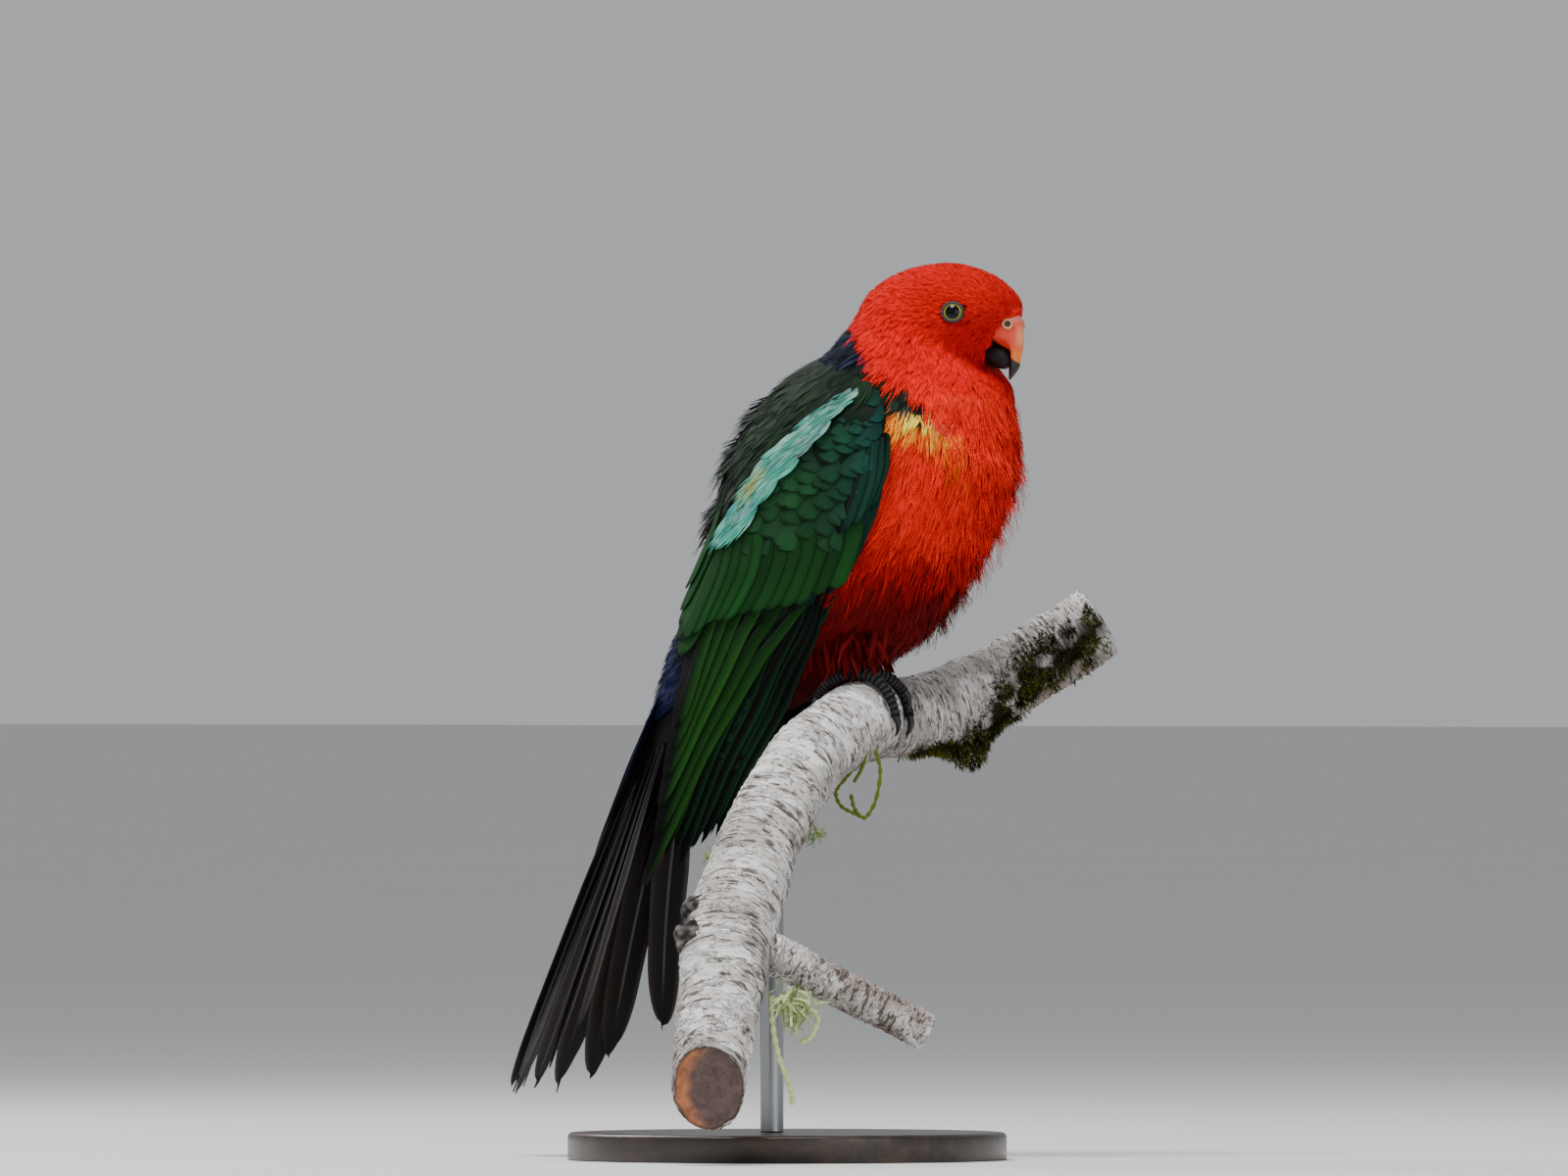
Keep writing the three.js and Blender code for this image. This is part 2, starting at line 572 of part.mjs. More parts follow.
const bird = new THREE.Group();
bird.position.set(...birdOrigin);
bird.add(
  meshOf('torso', largest(torso.subtract(perchInflated)), scarlet),
  meshOf('neck', neck, scarlet),
  meshOf('head', largest(withEyeSockets(bareHead)), scarlet),
  meshOf('bill_upper', largest(upper), billOrange),
  meshOf('bill_lower', largest(lower), billBlack),
  meshOf('tail', tail, tailBlack),
  meshOf('perch', perchSolid(0), bark),
  meshOf('stand_rod', standRod(perchInflated), standSteel),
);
[['right', -1], ['left', 1]].forEach(([name, side]) => {
  const leg = legSolid(side, join([bodyInflated, perchInflated]));
  bird.add(
    meshOf(`eye_${name}`, movedSphere(eyeRadius, eyeFrame(side).centre), eyeDark),
    meshOf(`wing_${name}`, wingSolid(side, bodyInflated), darkGreen),
    meshOf(`leg_${name}`, leg, footGrey),
  );
});

const model = new THREE.Group();
model.add(bird, meshOf('stand_base', standBase(), standWood));
export default model;
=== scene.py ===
import bpy
import numpy as np
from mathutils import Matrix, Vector


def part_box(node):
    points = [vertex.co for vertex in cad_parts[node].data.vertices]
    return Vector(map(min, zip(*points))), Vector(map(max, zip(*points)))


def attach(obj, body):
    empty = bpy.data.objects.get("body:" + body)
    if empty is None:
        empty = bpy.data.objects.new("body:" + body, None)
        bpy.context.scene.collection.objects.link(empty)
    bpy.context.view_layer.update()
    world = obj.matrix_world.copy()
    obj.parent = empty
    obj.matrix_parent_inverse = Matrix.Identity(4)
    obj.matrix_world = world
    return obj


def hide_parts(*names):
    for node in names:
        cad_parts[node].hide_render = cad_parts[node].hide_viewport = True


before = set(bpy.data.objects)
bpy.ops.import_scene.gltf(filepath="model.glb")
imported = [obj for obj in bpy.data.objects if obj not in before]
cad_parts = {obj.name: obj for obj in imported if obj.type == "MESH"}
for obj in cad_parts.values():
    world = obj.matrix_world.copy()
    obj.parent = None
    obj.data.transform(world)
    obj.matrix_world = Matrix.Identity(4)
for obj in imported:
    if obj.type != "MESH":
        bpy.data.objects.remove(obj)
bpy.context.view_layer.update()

rng = np.random.default_rng(11)
mm = 0.001
birdOrigin = np.array([15.0, 45.0, 202.0])  # the bird's own frame, in millimetres
sides = ((-1, "right"), (1, "left"))
nudge = 0.02  # the small step over which slopes are measured
sideCos, sideSin = 0.906, 0.4226  # of the turn between the bird and the picture plane


# Linear colour of three bytes as a paint programme shows them
def rgb(r, g, b):
    c = np.array([r, g, b], float) / 255
    return np.where(c <= 0.04045, c / 12.92, ((c + 0.055) / 1.055) ** 2.4)


def blend(a, b, t):
    return a + (b - a) * t


# A colour for each place, turned towards another by the place's own share
def towards(colour, other, share):
    return blend(colour, other, share[..., None])


# 0 below low, 1 above high, and a smooth cubic between
def smooth(low, high, x):
    t = np.clip((x - low) / (high - low), 0, 1)
    return t * t * (3 - 2 * t)


def unit(v):
    return v / np.maximum(np.linalg.norm(v, axis=-1, keepdims=True), 1e-9)


# Equal steps round a full turn, in radians
def turnOf(count):
    return np.linspace(0, 2 * np.pi, count, endpoint=False)


# A value for each feather, shaped to spread over the feather's strands, steps and edges
def perFeather(v):
    return v[:, None, None, None]


# A value for each vane, shaped to spread over the vane's grid
def perVane(v):
    return np.asarray(v, float)[:, None, None]


# Smooth waves of three directions laid over one another: a cheap, repeatable blotch from -1 to 1
def blotch(p, size, seed=0):
    phase = seed * 1.7
    a = np.sin(p[..., 0] / size + 1.9 * np.sin(p[..., 1] / size * 0.7 + phase))
    b = np.sin(p[..., 1] / size * 1.3 + 1.7 * np.sin(p[..., 2] / size * 0.8 + phase * 1.3))
    c = np.sin(p[..., 2] / size * 1.1 + 1.5 * np.sin(p[..., 0] / size * 0.9 + phase * 0.6))
    return (a + b + c) / 3


# Rows of values joined by a Catmull-Rom curve whose end slopes are carried on; s counts rows
def spline(values, s):
    values, s = np.asarray(values, float), np.asarray(s, float)
    last = len(values) - 1
    i = np.clip(np.floor(s).astype(int), 0, last - 1)
    t = (s - i)[..., None]
    p1, p2 = values[i], values[i + 1]
    p0 = np.where((i == 0)[..., None], 2 * values[0] - values[1], values[np.maximum(i - 1, 0)])
    end = 2 * values[last] - values[last - 1]
    p3 = np.where((i == last - 1)[..., None], end, values[np.minimum(i + 2, last)])
    return 0.5 * (2 * p1 + (p2 - p0) * t + (2 * p0 - 5 * p1 + 4 * p2 - p3) * t * t
                  + (3 * p1 - p0 - 3 * p2 + p3) * t ** 3)


# Each row: back x, back z, front x, front z, half width, tail base first
bodyRows = np.array([
    [-99, -10, -73, -20, 13], [-89.5, 18, -42, -8, 22], [-75, 44, -8, 6, 33], [-65, 71, 31, 20, 39],
    [-54, 105, 57, 55, 41], [-36, 129, 70, 91, 40], [-16, 145, 70, 119, 34], [-3, 160, 68.5, 131.5, 28],
    [6, 174, 63, 138, 25], [22, 183, 60, 141, 23.5], [43, 185.8, 61.5, 144, 21.5],
    [61, 181, 65, 149, 17], [72.5, 172.5, 69, 155.5, 10], [75.8, 165.5, 72, 159.5, 5]], float)
wingRows = np.array([
    [-123, -84, -71, -98, 31], [-113, -47, -57, -66, 29], [-101, -12, -43, -37, 29],
    [-90, 17, -25, -17, 32], [-78, 43, -2, 2, 36.5], [-66, 72, 31, 20, 40], [-54, 105, 57, 55, 41.5],
    [-36, 129, 70, 91, 40.5], [-16, 145, 69, 120, 34.5]], float)


# Point of a loft: the chord's middle + half the chord x cos(theta), and half width x sin(theta) sideways.
# Theta is in radians from the back line, s counts rows, and offset grows both halves, in mm.
def loftPoint(rows, s, theta, offset=0.0, side=1):
    row = spline(rows, s)
    back, front = row[..., 0:2], row[..., 2:4]
    half = (back - front) / 2
    size = np.linalg.norm(half, axis=-1)
    half = half * ((size + offset) / size)[..., None]
    flat = (back + front) / 2 + half * np.cos(theta)[..., None]
    across = side * (row[..., 4] + offset) * np.sin(theta)
    return np.stack([flat[..., 0], across, flat[..., 1]], -1)


# Way that a place moves for a small step of s and for one of theta
def loftSlopes(rows, s, theta, side=1):
    alongWay = loftPoint(rows, s + nudge, theta, 0.0, side) - loftPoint(rows, s - nudge, theta, 0.0, side)
    roundWay = loftPoint(rows, s, theta + nudge, 0.0, side) - loftPoint(rows, s, theta - nudge, 0.0, side)
    return alongWay, roundWay


# Millimetres for a step of s and for a radian of theta at each place
def loftScale(rows, s, theta):
    return [np.linalg.norm(way, axis=-1) / (2 * nudge) for way in loftSlopes(rows, s, theta)]


# Quads of a grid of rows x columns points, closed round its columns if wanted
def gridFaces(rows, columns, closed=False, start=0):
    i = np.arange(rows - 1)[:, None]
    j = np.arange(columns if closed else columns - 1)[None, :]
    a, b = i * columns + j, i * columns + (j + 1) % columns
    quads = np.stack([a, b, b + columns, a + columns], -1)
    return quads.reshape(-1, 4) + start


# Quads of a grid that is closed both ways
def ringFaces(turns, around):
    index = np.arange(turns * around).reshape(turns, around)
    after = np.roll(index, -1, 0)
    return np.stack([index, np.roll(index, -1, 1), np.roll(after, -1, 1), after], -1).reshape(-1, 4)


# Closes a tube's rings with a fan onto the middle of each end ring
def closedTube(rings):
    rowsAlong, around = rings.shape[:2]
    points = np.concatenate([rings.reshape(-1, 3), rings[0].mean(0)[None], rings[-1].mean(0)[None]])
    j = np.arange(around)
    k = (j + 1) % around
    n, last = rowsAlong * around, (rowsAlong - 1) * around
    low = np.stack([np.full(around, n), k, j, j], 1)
    top = np.stack([np.full(around, n + 1), last + j, last + k, last + k], 1)
    return points, np.concatenate([gridFaces(rowsAlong, around, closed=True), low, top])


# Turns all faces round if the closed mesh encloses less than nothing
def faceOut(points, faces):
    a, b, c, d = [points[faces[:, i]] for i in range(4)]
    volume = (np.cross(a, b) * c).sum() + (np.cross(a, c) * d).sum()
    if volume > 0:
        return faces
    turned = faces[:, [0, 3, 2, 1]]
    triangle = faces[:, 3] == faces[:, 2]
    turned[triangle] = faces[triangle][:, [0, 2, 1, 1]]
    return turned


# Places round a point on its own axes: x along a, y along b and z along n
def onAxes(centre, a, b, n, x, y, z):
    return centre + x[..., None] * a + y[..., None] * b + z[..., None] * n


# A ball as a grid of latitude rows: its three coordinates, the pole along z, and the angle from the pole
def ballGrid(radius, rowsAlong, around):
    lat = np.linspace(0, np.pi, rowsAlong)[:, None] + np.zeros((1, around))
    lon = turnOf(around)[None, :] + np.zeros((rowsAlong, 1))
    return radius * np.sin(lat) * np.cos(lon), radius * np.sin(lat) * np.sin(lon), radius * np.cos(lat), lat


# Rings of a tube along a line of points
def tubeRings(points, radii, around, up=(0, 0, 1.0)):
    ahead = unit(np.gradient(points, axis=0))
    level = unit(np.cross(ahead, np.asarray(up)))
    top = np.cross(level, ahead)
    a = turnOf(around)[None, :, None]
    return points[:, None] + radii * (np.cos(a) * top[:, None] + np.sin(a) * level[:, None])


# A mesh of one material from points in the bird's frame, or from world places if wanted, in mm. Faces are
# quads, and a repeated last index makes a triangle. The maps and colours have a row for each point.
def meshPiece(name, points, faces, material, world=False, uvs=None, colours=None):
    mesh = bpy.data.meshes.new(name)
    place = (np.asarray(points, float).reshape(-1, 3) + (0 if world else birdOrigin)) * mm
    faces = np.asarray(faces)
    size = np.where(faces[:, 3] == faces[:, 2], 3, 4)
    corners = faces.reshape(-1)[(np.arange(4)[None, :] < size[:, None]).reshape(-1)]
    mesh.vertices.add(len(place))
    mesh.vertices.foreach_set("co", place.ravel())
    mesh.loops.add(len(corners))
    mesh.loops.foreach_set("vertex_index", corners.astype(np.int32))
    mesh.polygons.add(len(faces))
    mesh.polygons.foreach_set("loop_start", (np.cumsum(size) - size).astype(np.int32))
    mesh.polygons.foreach_set("use_smooth", np.full(len(faces), True))
    for layer, uv in (uvs or {}).items():
        mesh.uv_layers.new(name=layer).data.foreach_set("uv", np.asarray(uv, float)[corners].ravel())
    for layer, values in (colours or {}).items():
        rgba = np.concatenate([values, np.ones((len(values), 1))], 1) if values.shape[1] == 3 else values
        mesh.attributes.new(layer, "FLOAT_COLOR", "POINT").data.foreach_set("color", rgba.ravel())
    mesh.materials.append(material)
    mesh.update(calc_edges=True)
    mesh.validate()
    piece = bpy.data.objects.new(name, mesh)
    bpy.context.scene.collection.objects.link(piece)
    return piece


# Rides on the one body and stands for CAD nodes; its slot is not used
def settle(piece, slot, *nodes):
    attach(piece, "root")
    if nodes:
        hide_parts(*nodes)
    return piece


# A closed piece with a colour for each point, its faces turned outwards; layers are further point colours
def tintedPiece(name, points, faces, material, tint, slot, *nodes, **layers):
    faces = faceOut(points, faces)
    return settle(meshPiece(name, points, faces, material, colours=dict(tint=tint, **layers)), slot, *nodes)


# One colour for all of a piece's points
def plainTint(colour, points):
    return np.tile(colour, (len(points), 1))


# A node socket that takes part in sums; numbers and sockets mix freely
class Wire:
    def __init__(self, maker, socket):
        self.maker, self.socket = maker, socket

    def sum(self, operation, *values):
        return self.maker.node("ShaderNodeMath", dict(operation=operation), list(values))

    def __add__(self, other):
        return self.sum("ADD", self, other)

    def __sub__(self, other):
        return self.sum("SUBTRACT", self, other)

    def __rsub__(self, other):
        return self.sum("SUBTRACT", other, self)

    def __mul__(self, other):
        return self.sum("MULTIPLY", self, other)

    def __pow__(self, other):
        return self.sum("POWER", self, other)

    def abs(self):
        return self.sum("ABSOLUTE", self)

    def sin(self):
        return self.sum("SINE", self)

    def step(self, low, high):
        return self.maker.node("ShaderNodeMapRange", dict(interpolation_type="SMOOTHSTEP"),
                               [self, low, high, 0.0, 1.0])


# Builds one material: node() takes a type, its settings and the values or wires of its sockets
class Maker:
    def __init__(self, name):
        self.material = bpy.data.materials.new(name)
        self.material.use_nodes = True
        self.tree = self.material.node_tree
        self.shader = self.tree.nodes["Principled BSDF"]

    def node(self, kind, settings=None, inputs=None, output=0):
        made = self.tree.nodes.new(kind)
        for key, value in (settings or {}).items():
            setattr(made, key, value)
        pairs = inputs.items() if isinstance(inputs, dict) else enumerate(inputs or [])
        for key, value in pairs:
            self.feed(made.inputs[key], value)
        return Wire(self, made.outputs[output])

    def feed(self, socket, value):
        if isinstance(value, Wire):
            self.tree.links.new(value.socket, socket)
        elif socket.type == "RGBA":
            socket.default_value = (*value, 1)
        else:
            socket.default_value = value

    def noise(self, place, scale, detail=3.0, roughness=0.55):
        return self.node("ShaderNodeTexNoise", {}, {"Vector": place, "Scale": scale, "Detail": detail,
                                                    "Roughness": roughness})

    # The object's own coordinates
    def place(self):
        return self.node("ShaderNodeTexCoord", output=3)

    def stretched(self, place, scale):
        return self.node("ShaderNodeMapping", {}, {"Vector": place, "Scale": scale})

    def uv(self, layer):
        both = self.node("ShaderNodeUVMap", dict(uv_map=layer))
        split = self.node("ShaderNodeSeparateXYZ", {}, [both])
        return split, Wire(self, split.socket.node.outputs[1])

    # A colour layer of the points, or its fourth value with output 3
    def colour(self, layer, output=0):
        return self.node("ShaderNodeAttribute", dict(attribute_name=layer), output=output)

    def mixed(self, a, b, factor):
        return self.node("ShaderNodeMix", dict(data_type="RGBA"), {0: factor, 6: a, 7: b}, 2)

    def scaled(self, colour, factor):
        return self.node("ShaderNodeVectorMath", dict(operation="SCALE"), {0: colour, 3: factor})

    def bump(self, height, distance):
        return self.node("ShaderNodeBump", {}, {"Height": height, "Distance": distance})

    def finish(self, **sockets):
        for name, value in sockets.items():
            self.feed(self.shader.inputs[name.replace("_", " ")], value)
        return self.material


# A finish that takes its colours from the points, with one fine noise for its cloud and its relief
def grainMaterial(name, scale, cloudLow, cloudGain, roughness, depth=0.0, specular=0.5, detail=3.0):
    m = Maker(name)
    grain = m.noise(m.place(), scale, detail)
    relief = dict(Normal=m.bump(grain, depth)) if depth else {}
    return m.finish(Base_Color=m.scaled(m.colour("tint"), grain * cloudGain + cloudLow), Roughness=roughness,
                    Specular_IOR_Level=specular, **relief)


barbs = dict(slant=0.28, cloud=0.5, shade=0.06, depth=0.0002, sheenRoughness=0.35, shaftEdges=(0.03, 0.1),
             shaftEnd=(0.75, 0.95), shaftColour=(0.35, 0.33, 0.28))


# Plumage: the colour comes with each feather, and barbs slant out from the shaft on the feather's own map
def featherMaterial(name, roughness, barbCount, specular, sheen, sheenColour, shaft=0.0):
    m = Maker(name)
    across, along = m.uv("web")
    out = across.abs()
    barb = ((along * barbCount - out * barbCount * barbs["slant"]) * (2 * np.pi)).sin()
    grain = m.noise(m.place(), 900.0, 2.0)
    shade = m.scaled(m.colour("tint"), (grain - 0.5) * barbs["cloud"] + 1.0 + barb * barbs["shade"])
    shaftLine = (1.0 - out.step(*barbs["shaftEdges"])) * shaft
    shade = m.mixed(shade, barbs["shaftColour"], shaftLine * (1.0 - along.step(*barbs["shaftEnd"])))
    return m.finish(Base_Color=shade, Roughness=roughness, Specular_IOR_Level=specular, Sheen_Weight=sheen,
                    Sheen_Roughness=barbs["sheenRoughness"], Sheen_Tint=sheenColour,
                    Normal=m.bump(barb * 0.5 + grain * 0.4 + shaftLine, barbs["depth"]))


redFeather = featherMaterial("scarletFeather", 0.75, 12.0, 0.12, 0.05, (1.0, 0.2, 0.1))
greenFeather = featherMaterial("greenFeather", 0.55, 26.0, 0.14, 0.02, (0.5, 0.8, 0.7))
quillFeather = featherMaterial("quillFeather", 0.55, 55.0, 0.1, 0.0, (0.6, 0.7, 0.7), 0.05)
tailFeather = featherMaterial("tailFeather", 0.42, 75.0, 0.14, 0.02, (0.75, 0.65, 0.6), 0.3)

patchSize = 0.003  # the side of each feather's patch on the map named OFBake


# A root's place on the unwrap of a loft: round it across the map and along it up the map. Shift moves a whole
# layer to a free part of the map, so that layers over one another share no place.
def rootPlace(rows, s, theta, shift=0.0):
    place = np.stack(np.broadcast_arrays(np.mod(theta / (2 * np.pi) + shift, 1), s / (len(rows) - 1)), -1)
    return place * 0.94 + 0.03


# Feathers as fans of tapering strands. Strand k leaves the root at its own place across the vane, so that
# along t its middle stands at width x place x open(t), and its own half width shrinks to a point at t = 1.
# Lift and sink are the heights of tip and root over and under the loft, and turn leans the whole feather.
def strandFeathers(rows, s, theta, side, length, width, lift, turn, strands, tint, tipTint, sink, arch,
                   ragged, steps=5, curl=0.0, shift=0.0):
    count = len(s)
    shape = (count, strands, steps, 2)
    t = np.linspace(0, 1, steps)[None, None, :, None]
    place = np.linspace(-1, 1, strands)[None, :, None, None] * np.ones(shape)
    own = rng.normal(0, 1, (count, strands, 1, 1))
    reach = perFeather(length) * (1 - 0.2 * place ** 2) * (1 + ragged * own)
    half = perFeather(width) * 0.5
    opened = half * (0.35 + 0.65 * np.sin(np.minimum(t * 1.6, 1) * np.pi / 2)) * (1 - 0.35 * t ** 3)
    strand = half / strands * 1.9 * (1 - t) ** 0.55 * (0.7 + 0.3 * np.sin(t * np.pi))
    edge = np.array([-1.0, 1.0])
    across = place * opened + edge * strand + own * 0.05 * half * t
    down = reach * t
    angle = perFeather(turn)
    a, b = down * np.cos(angle) - across * np.sin(angle), down * np.sin(angle) + across * np.cos(angle)
    sunk = perFeather(np.broadcast_to(sink, (count,)))
    rise = (-sunk + (perFeather(lift) + sunk) * t ** 1.3 - arch * place ** 2 * (0.3 + t)
            + rng.normal(0, 0.1, (count, strands, 1, 1)) + curl * t ** 3 + edge * own * 0.06)
    perS, perTheta = loftScale(rows, s, theta)
    at = perFeather(s) - a / perFeather(perS)
    turned = perFeather(theta) + b / perFeather(perTheta)
    points = loftPoint(rows, at, turned, rise, side).reshape(-1, 3)
    base = (np.arange(count * strands) * steps * 2)[:, None, None]
    k = (np.arange(steps - 1) * 2)[None, :, None]
    faces = (base + k + np.array([0, 1, 3, 2])).reshape(-1, 4)
    web = np.stack([np.broadcast_to(place * 0.9 + edge * 0.1, shape), np.broadcast_to(t, shape)], -1)
    shade = blend(perFeather(tint), perFeather(tipTint), (t ** 1.2)[..., None]) * (1 + 0.10 * own[..., None])
    patch = np.stack([(place + 1) / 2, np.broadcast_to(t, shape)], -1) * patchSize
    unwrapped = perFeather(rootPlace(rows, s, theta, shift)) + patch
    return dict(points=points, faces=faces[:, ::-1] if side > 0 else faces, web=web.reshape(-1, 2),
                tint=np.clip(np.broadcast_to(shade, (*shape, 3)).reshape(-1, 3), 0, 1),
                bake=unwrapped.reshape(-1, 2))


# Vanes as closed thin plates: u runs across the web from -1 to 1, t along the shaft. placeAt(t, u, height)
# gives the points, and the outline narrows at the root and rounds off over the last part of the tip.
def vaneGrid(placeAt, count, rowsAlong, thickness, ragged, tipShape=2.2, point=0.0):
    u = np.array([-1, -0.72, -0.4, -0.08, 0.08, 0.4, 0.72, 1.0])
    t = 1 - (1 - np.linspace(0, 1, rowsAlong)) ** 1.5
    tt, uu = np.meshgrid(t, u, indexing="ij")
    rounded = (1 - np.maximum(0, (tt - 0.78) / 0.22) ** tipShape) ** (1 / tipShape)
    outline = np.maximum(np.minimum(1, 0.35 + 1.6 * tt) * rounded, 0.03)
    outline = outline * (1 - point * np.maximum(0, tt - 0.5) * 2)
    own = rng.normal(0, ragged, (count, 1, len(u))) * smooth(0.6, 1.0, tt)[None]
    shaft = 0.22 * np.exp(-(uu[None] * 9) ** 2)
    body = thickness * (1 - 0.7 * np.abs(uu[None]))
    at, across = tt[None] + own, (uu * outline)[None] + 0 * own
    top, low = placeAt(at, across, body + shaft), placeAt(at, across, -body)
    columns, sheet = len(u), rowsAlong * len(u)
    rim = np.concatenate([np.arange(columns - 1), np.arange(rowsAlong - 1) * columns + columns - 1,
                          (rowsAlong - 1) * columns + np.arange(columns - 1, 0, -1),
                          np.arange(rowsAlong - 1, 0, -1) * columns])
    rimFaces = np.stack([rim, np.roll(rim, -1), np.roll(rim, -1) + sheet, rim + sheet], 1)[:, ::-1]
    under = gridFaces(rowsAlong, columns, start=sheet)[:, ::-1]
    faces = np.concatenate([gridFaces(rowsAlong, columns), under, rimFaces])
    points = np.concatenate([top.reshape(count, -1, 3), low.reshape(count, -1, 3)], 1)
    uv = np.stack([uu, tt], -1).reshape(-1, 2)
    allFaces = (faces[None] + (np.arange(count) * sheet * 2)[:, None, None]).reshape(-1, 4)
    return points, allFaces, np.tile(np.concatenate([uv, uv]), (count, 1))


# Parts become one: their rows are laid after one another, and their faces count on
def joined(parts):
    start = np.cumsum([0] + [len(p["points"]) for p in parts[:-1]])
    whole = {key: np.concatenate([p[key] for p in parts]) for key in parts[0]}
    whole["faces"] = np.concatenate([p["faces"] + at for p, at in zip(parts, start)])
    return whole


print("helpers ready")

# Colours of the body's plumage, and the depth of its coat over the skin in mm
plumage = dict(
    head=rgb(248, 17, 12), cheek=rgb(242, 7, 12), breast=rgb(250, 38, 20), belly=rgb(104, 1, 5),
    vent=rgb(52, 8, 10), orange=rgb(255, 110, 8), yellow=rgb(255, 214, 66), hindneck=rgb(20, 32, 64),
    mantle=rgb(24, 46, 26), mantleTip=rgb(7, 10, 8), cleft=rgb(52, 66, 58), fringe=rgb(206, 190, 176),
    rump=rgb(20, 25, 66), skinDepth=1.7)

# Edges of the colours, in mm of the side view: the red's edge down the neck and along the cleft, its edge low
# on the flank in degrees from the back line at s, and the upper edge of the yellow patch
redEdge = dict(z=[118, 120, 123.5, 130, 135.5, 138, 146, 152, 157.8, 161],
               u=[2, 28, 31, 20, 8, 5, -1, -3.4, -4.5, -60])
flankEdge = dict(s=[0, 1, 3, 5, 5.7, 6.2], degrees=[70, 84, 98, 99, 96, 92])
patchEdge = dict(u=[8.9, 25, 33, 39, 44, 48], z=[118.6, 118.2, 113.5, 107, 98, 88])
# How far the belly's front lies inside the solid, in mm at s
bellyDepth = dict(s=[2.2, 2.9, 3.6, 4.2, 4.9, 5.5], mm=[0, 6.5, 6, 4.5, 2, 0])


# The side view's own axes: u runs to the bill along the picture plane, z up, both in mm
def sidePlace(p):
    return sideCos * p[..., 0] - sideSin * np.abs(p[..., 1]), p[..., 2]


# A point of the side view (u, z) at a depth towards the camera, in the bird's own frame
def fromSide(u, z, depth):
    return np.stack([sideCos * u + sideSin * depth, sideSin * u - sideCos * depth, z], -1)


# Degrees from the back line, on either side of it
def fromBack(theta):
    return np.degrees(np.arccos(np.clip(np.cos(theta), -1, 1)))


# A round spot of the side view, 1 at its middle
def spot(u, z, middle, size):
    return np.exp(-((u - middle[0]) / size[0]) ** 2 - ((z - middle[1]) / size[1]) ** 2)


# The red plumage ends at a line that runs down the back of the head, out along a cleft and back to the wing
def greenShare(p, s, degreesRound):
    u, z = sidePlace(p)
    upper = smooth(1.0, -1.0, u - np.interp(z, redEdge["z"], redEdge["u"])) * smooth(117.5, 118.5, z)
    edge = np.interp(s, flankEdge["s"], flankEdge["degrees"])
    return np.maximum(upper, smooth(6, -6, degreesRound - edge) * smooth(119.5, 118, z))


# Share of the yellow patch, share of its yellow middle and share of the pale fringe over it
def patchShares(u, z):
    below = np.interp(u, patchEdge["u"], patchEdge["z"]) - z
    patch = smooth(-1.2, 1.0, below) * np.exp(-(np.maximum(below, 0) / 7.5) ** 2)
    patch = patch * smooth(9, 15, u) * smooth(50, 38, u)
    warm = patch * spot(u, below, (25, 0), (8.5, 4.5))
    fringe = smooth(-2.4, -1.2, below) * smooth(0.3, -0.6, below) * smooth(19, 24, u) * smooth(40, 34, u)
    return np.clip(1.25 * patch, 0, 1), np.clip(1.5 * warm, 0, 1), 0.25 * fringe


def bodyColour(p, s, theta):
    u, z = sidePlace(p)
    c = plumage
    red = towards(c["head"], c["cheek"], smooth(-6, 10, u) * smooth(168, 152, z))
    red = towards(c["breast"], red, smooth(122, 138, z))
    # Deeper crimson towards the underside: partly the belly's own red, partly painted shade under the body
    red = towards(red, c["belly"], smooth(86, 24, z + 0.25 * u - 6 + 7 * blotch(p, 9, 2)))
    red = towards(red, c["vent"], smooth(-14, -52, u - 0.3 * z) * smooth(30, 5, z))
    for name, share in zip(("orange", "yellow", "fringe"), patchShares(u, z)):
        red = towards(red, c[name], share)
    speck = spot(u, z, (53, 140), (3, 1.6)) + spot(u, z, (45, 159.5), (1.3, 1.2))
    red = towards(red, c["vent"] * 0.3, 0.85 * np.clip(speck, 0, 1))
    green = towards(c["mantle"], c["rump"], smooth(2.6, 1.6, s))
    green = towards(green, c["hindneck"], smooth(137, 143, z) * smooth(20, -6, u))
    green = towards(green, c["cleft"], smooth(8, 18, u) * smooth(132, 126, z))
    return towards(red, green, greenShare(p, s, fromBack(theta)))


def bellyTuck(s, theta):
    return smooth(-0.3, -0.8, np.cos(theta)) * np.interp(s, bellyDepth["s"], bellyDepth["mm"])


# Skin: the body's loft, sunk by the depth of the coat, closed with a point at each end
def makeSkin():
    rowsAlong, around = 130, 96
    last = len(bodyRows) - 1
    s = np.linspace(0, last, rowsAlong)[:, None] * np.ones((1, around))
    theta = turnOf(around)[None, :] * np.ones((rowsAlong, 1))
    depth = -plumage["skinDepth"] * smooth(13.2, 11, s) - 0.6 - bellyTuck(s, theta)
    points = loftPoint(bodyRows, s, theta, depth).reshape(-1, 3)
    tint = bodyColour(points, s.ravel(), theta.ravel()) * 0.7
    ends = np.stack([points[:around].mean(0), points[-around:].mean(0)])
    n = len(points)
    j = np.arange(around)
    k = (j + 1) % around
    low = np.stack([np.full(around, n), j, k, k], 1)
    top = np.stack([np.full(around, n + 1), n - around + k, n - around + j, n - around + j], 1)
    faces = np.concatenate([gridFaces(rowsAlong, around, closed=True)[:, ::-1], low, top])
    web = np.stack([np.append(theta.ravel(), [0, 0]) / np.pi - 1, np.append(s.ravel(), [0, last]) / last], 1)
    tint = np.concatenate([tint, tint[:1], tint[-1:]])
    skin = meshPiece("skin", np.concatenate([points, ends]), faces, redFeather, uvs=dict(web=web),
                     colours=dict(tint=tint))
    return settle(skin, "red_plumage", "torso", "neck", "head")


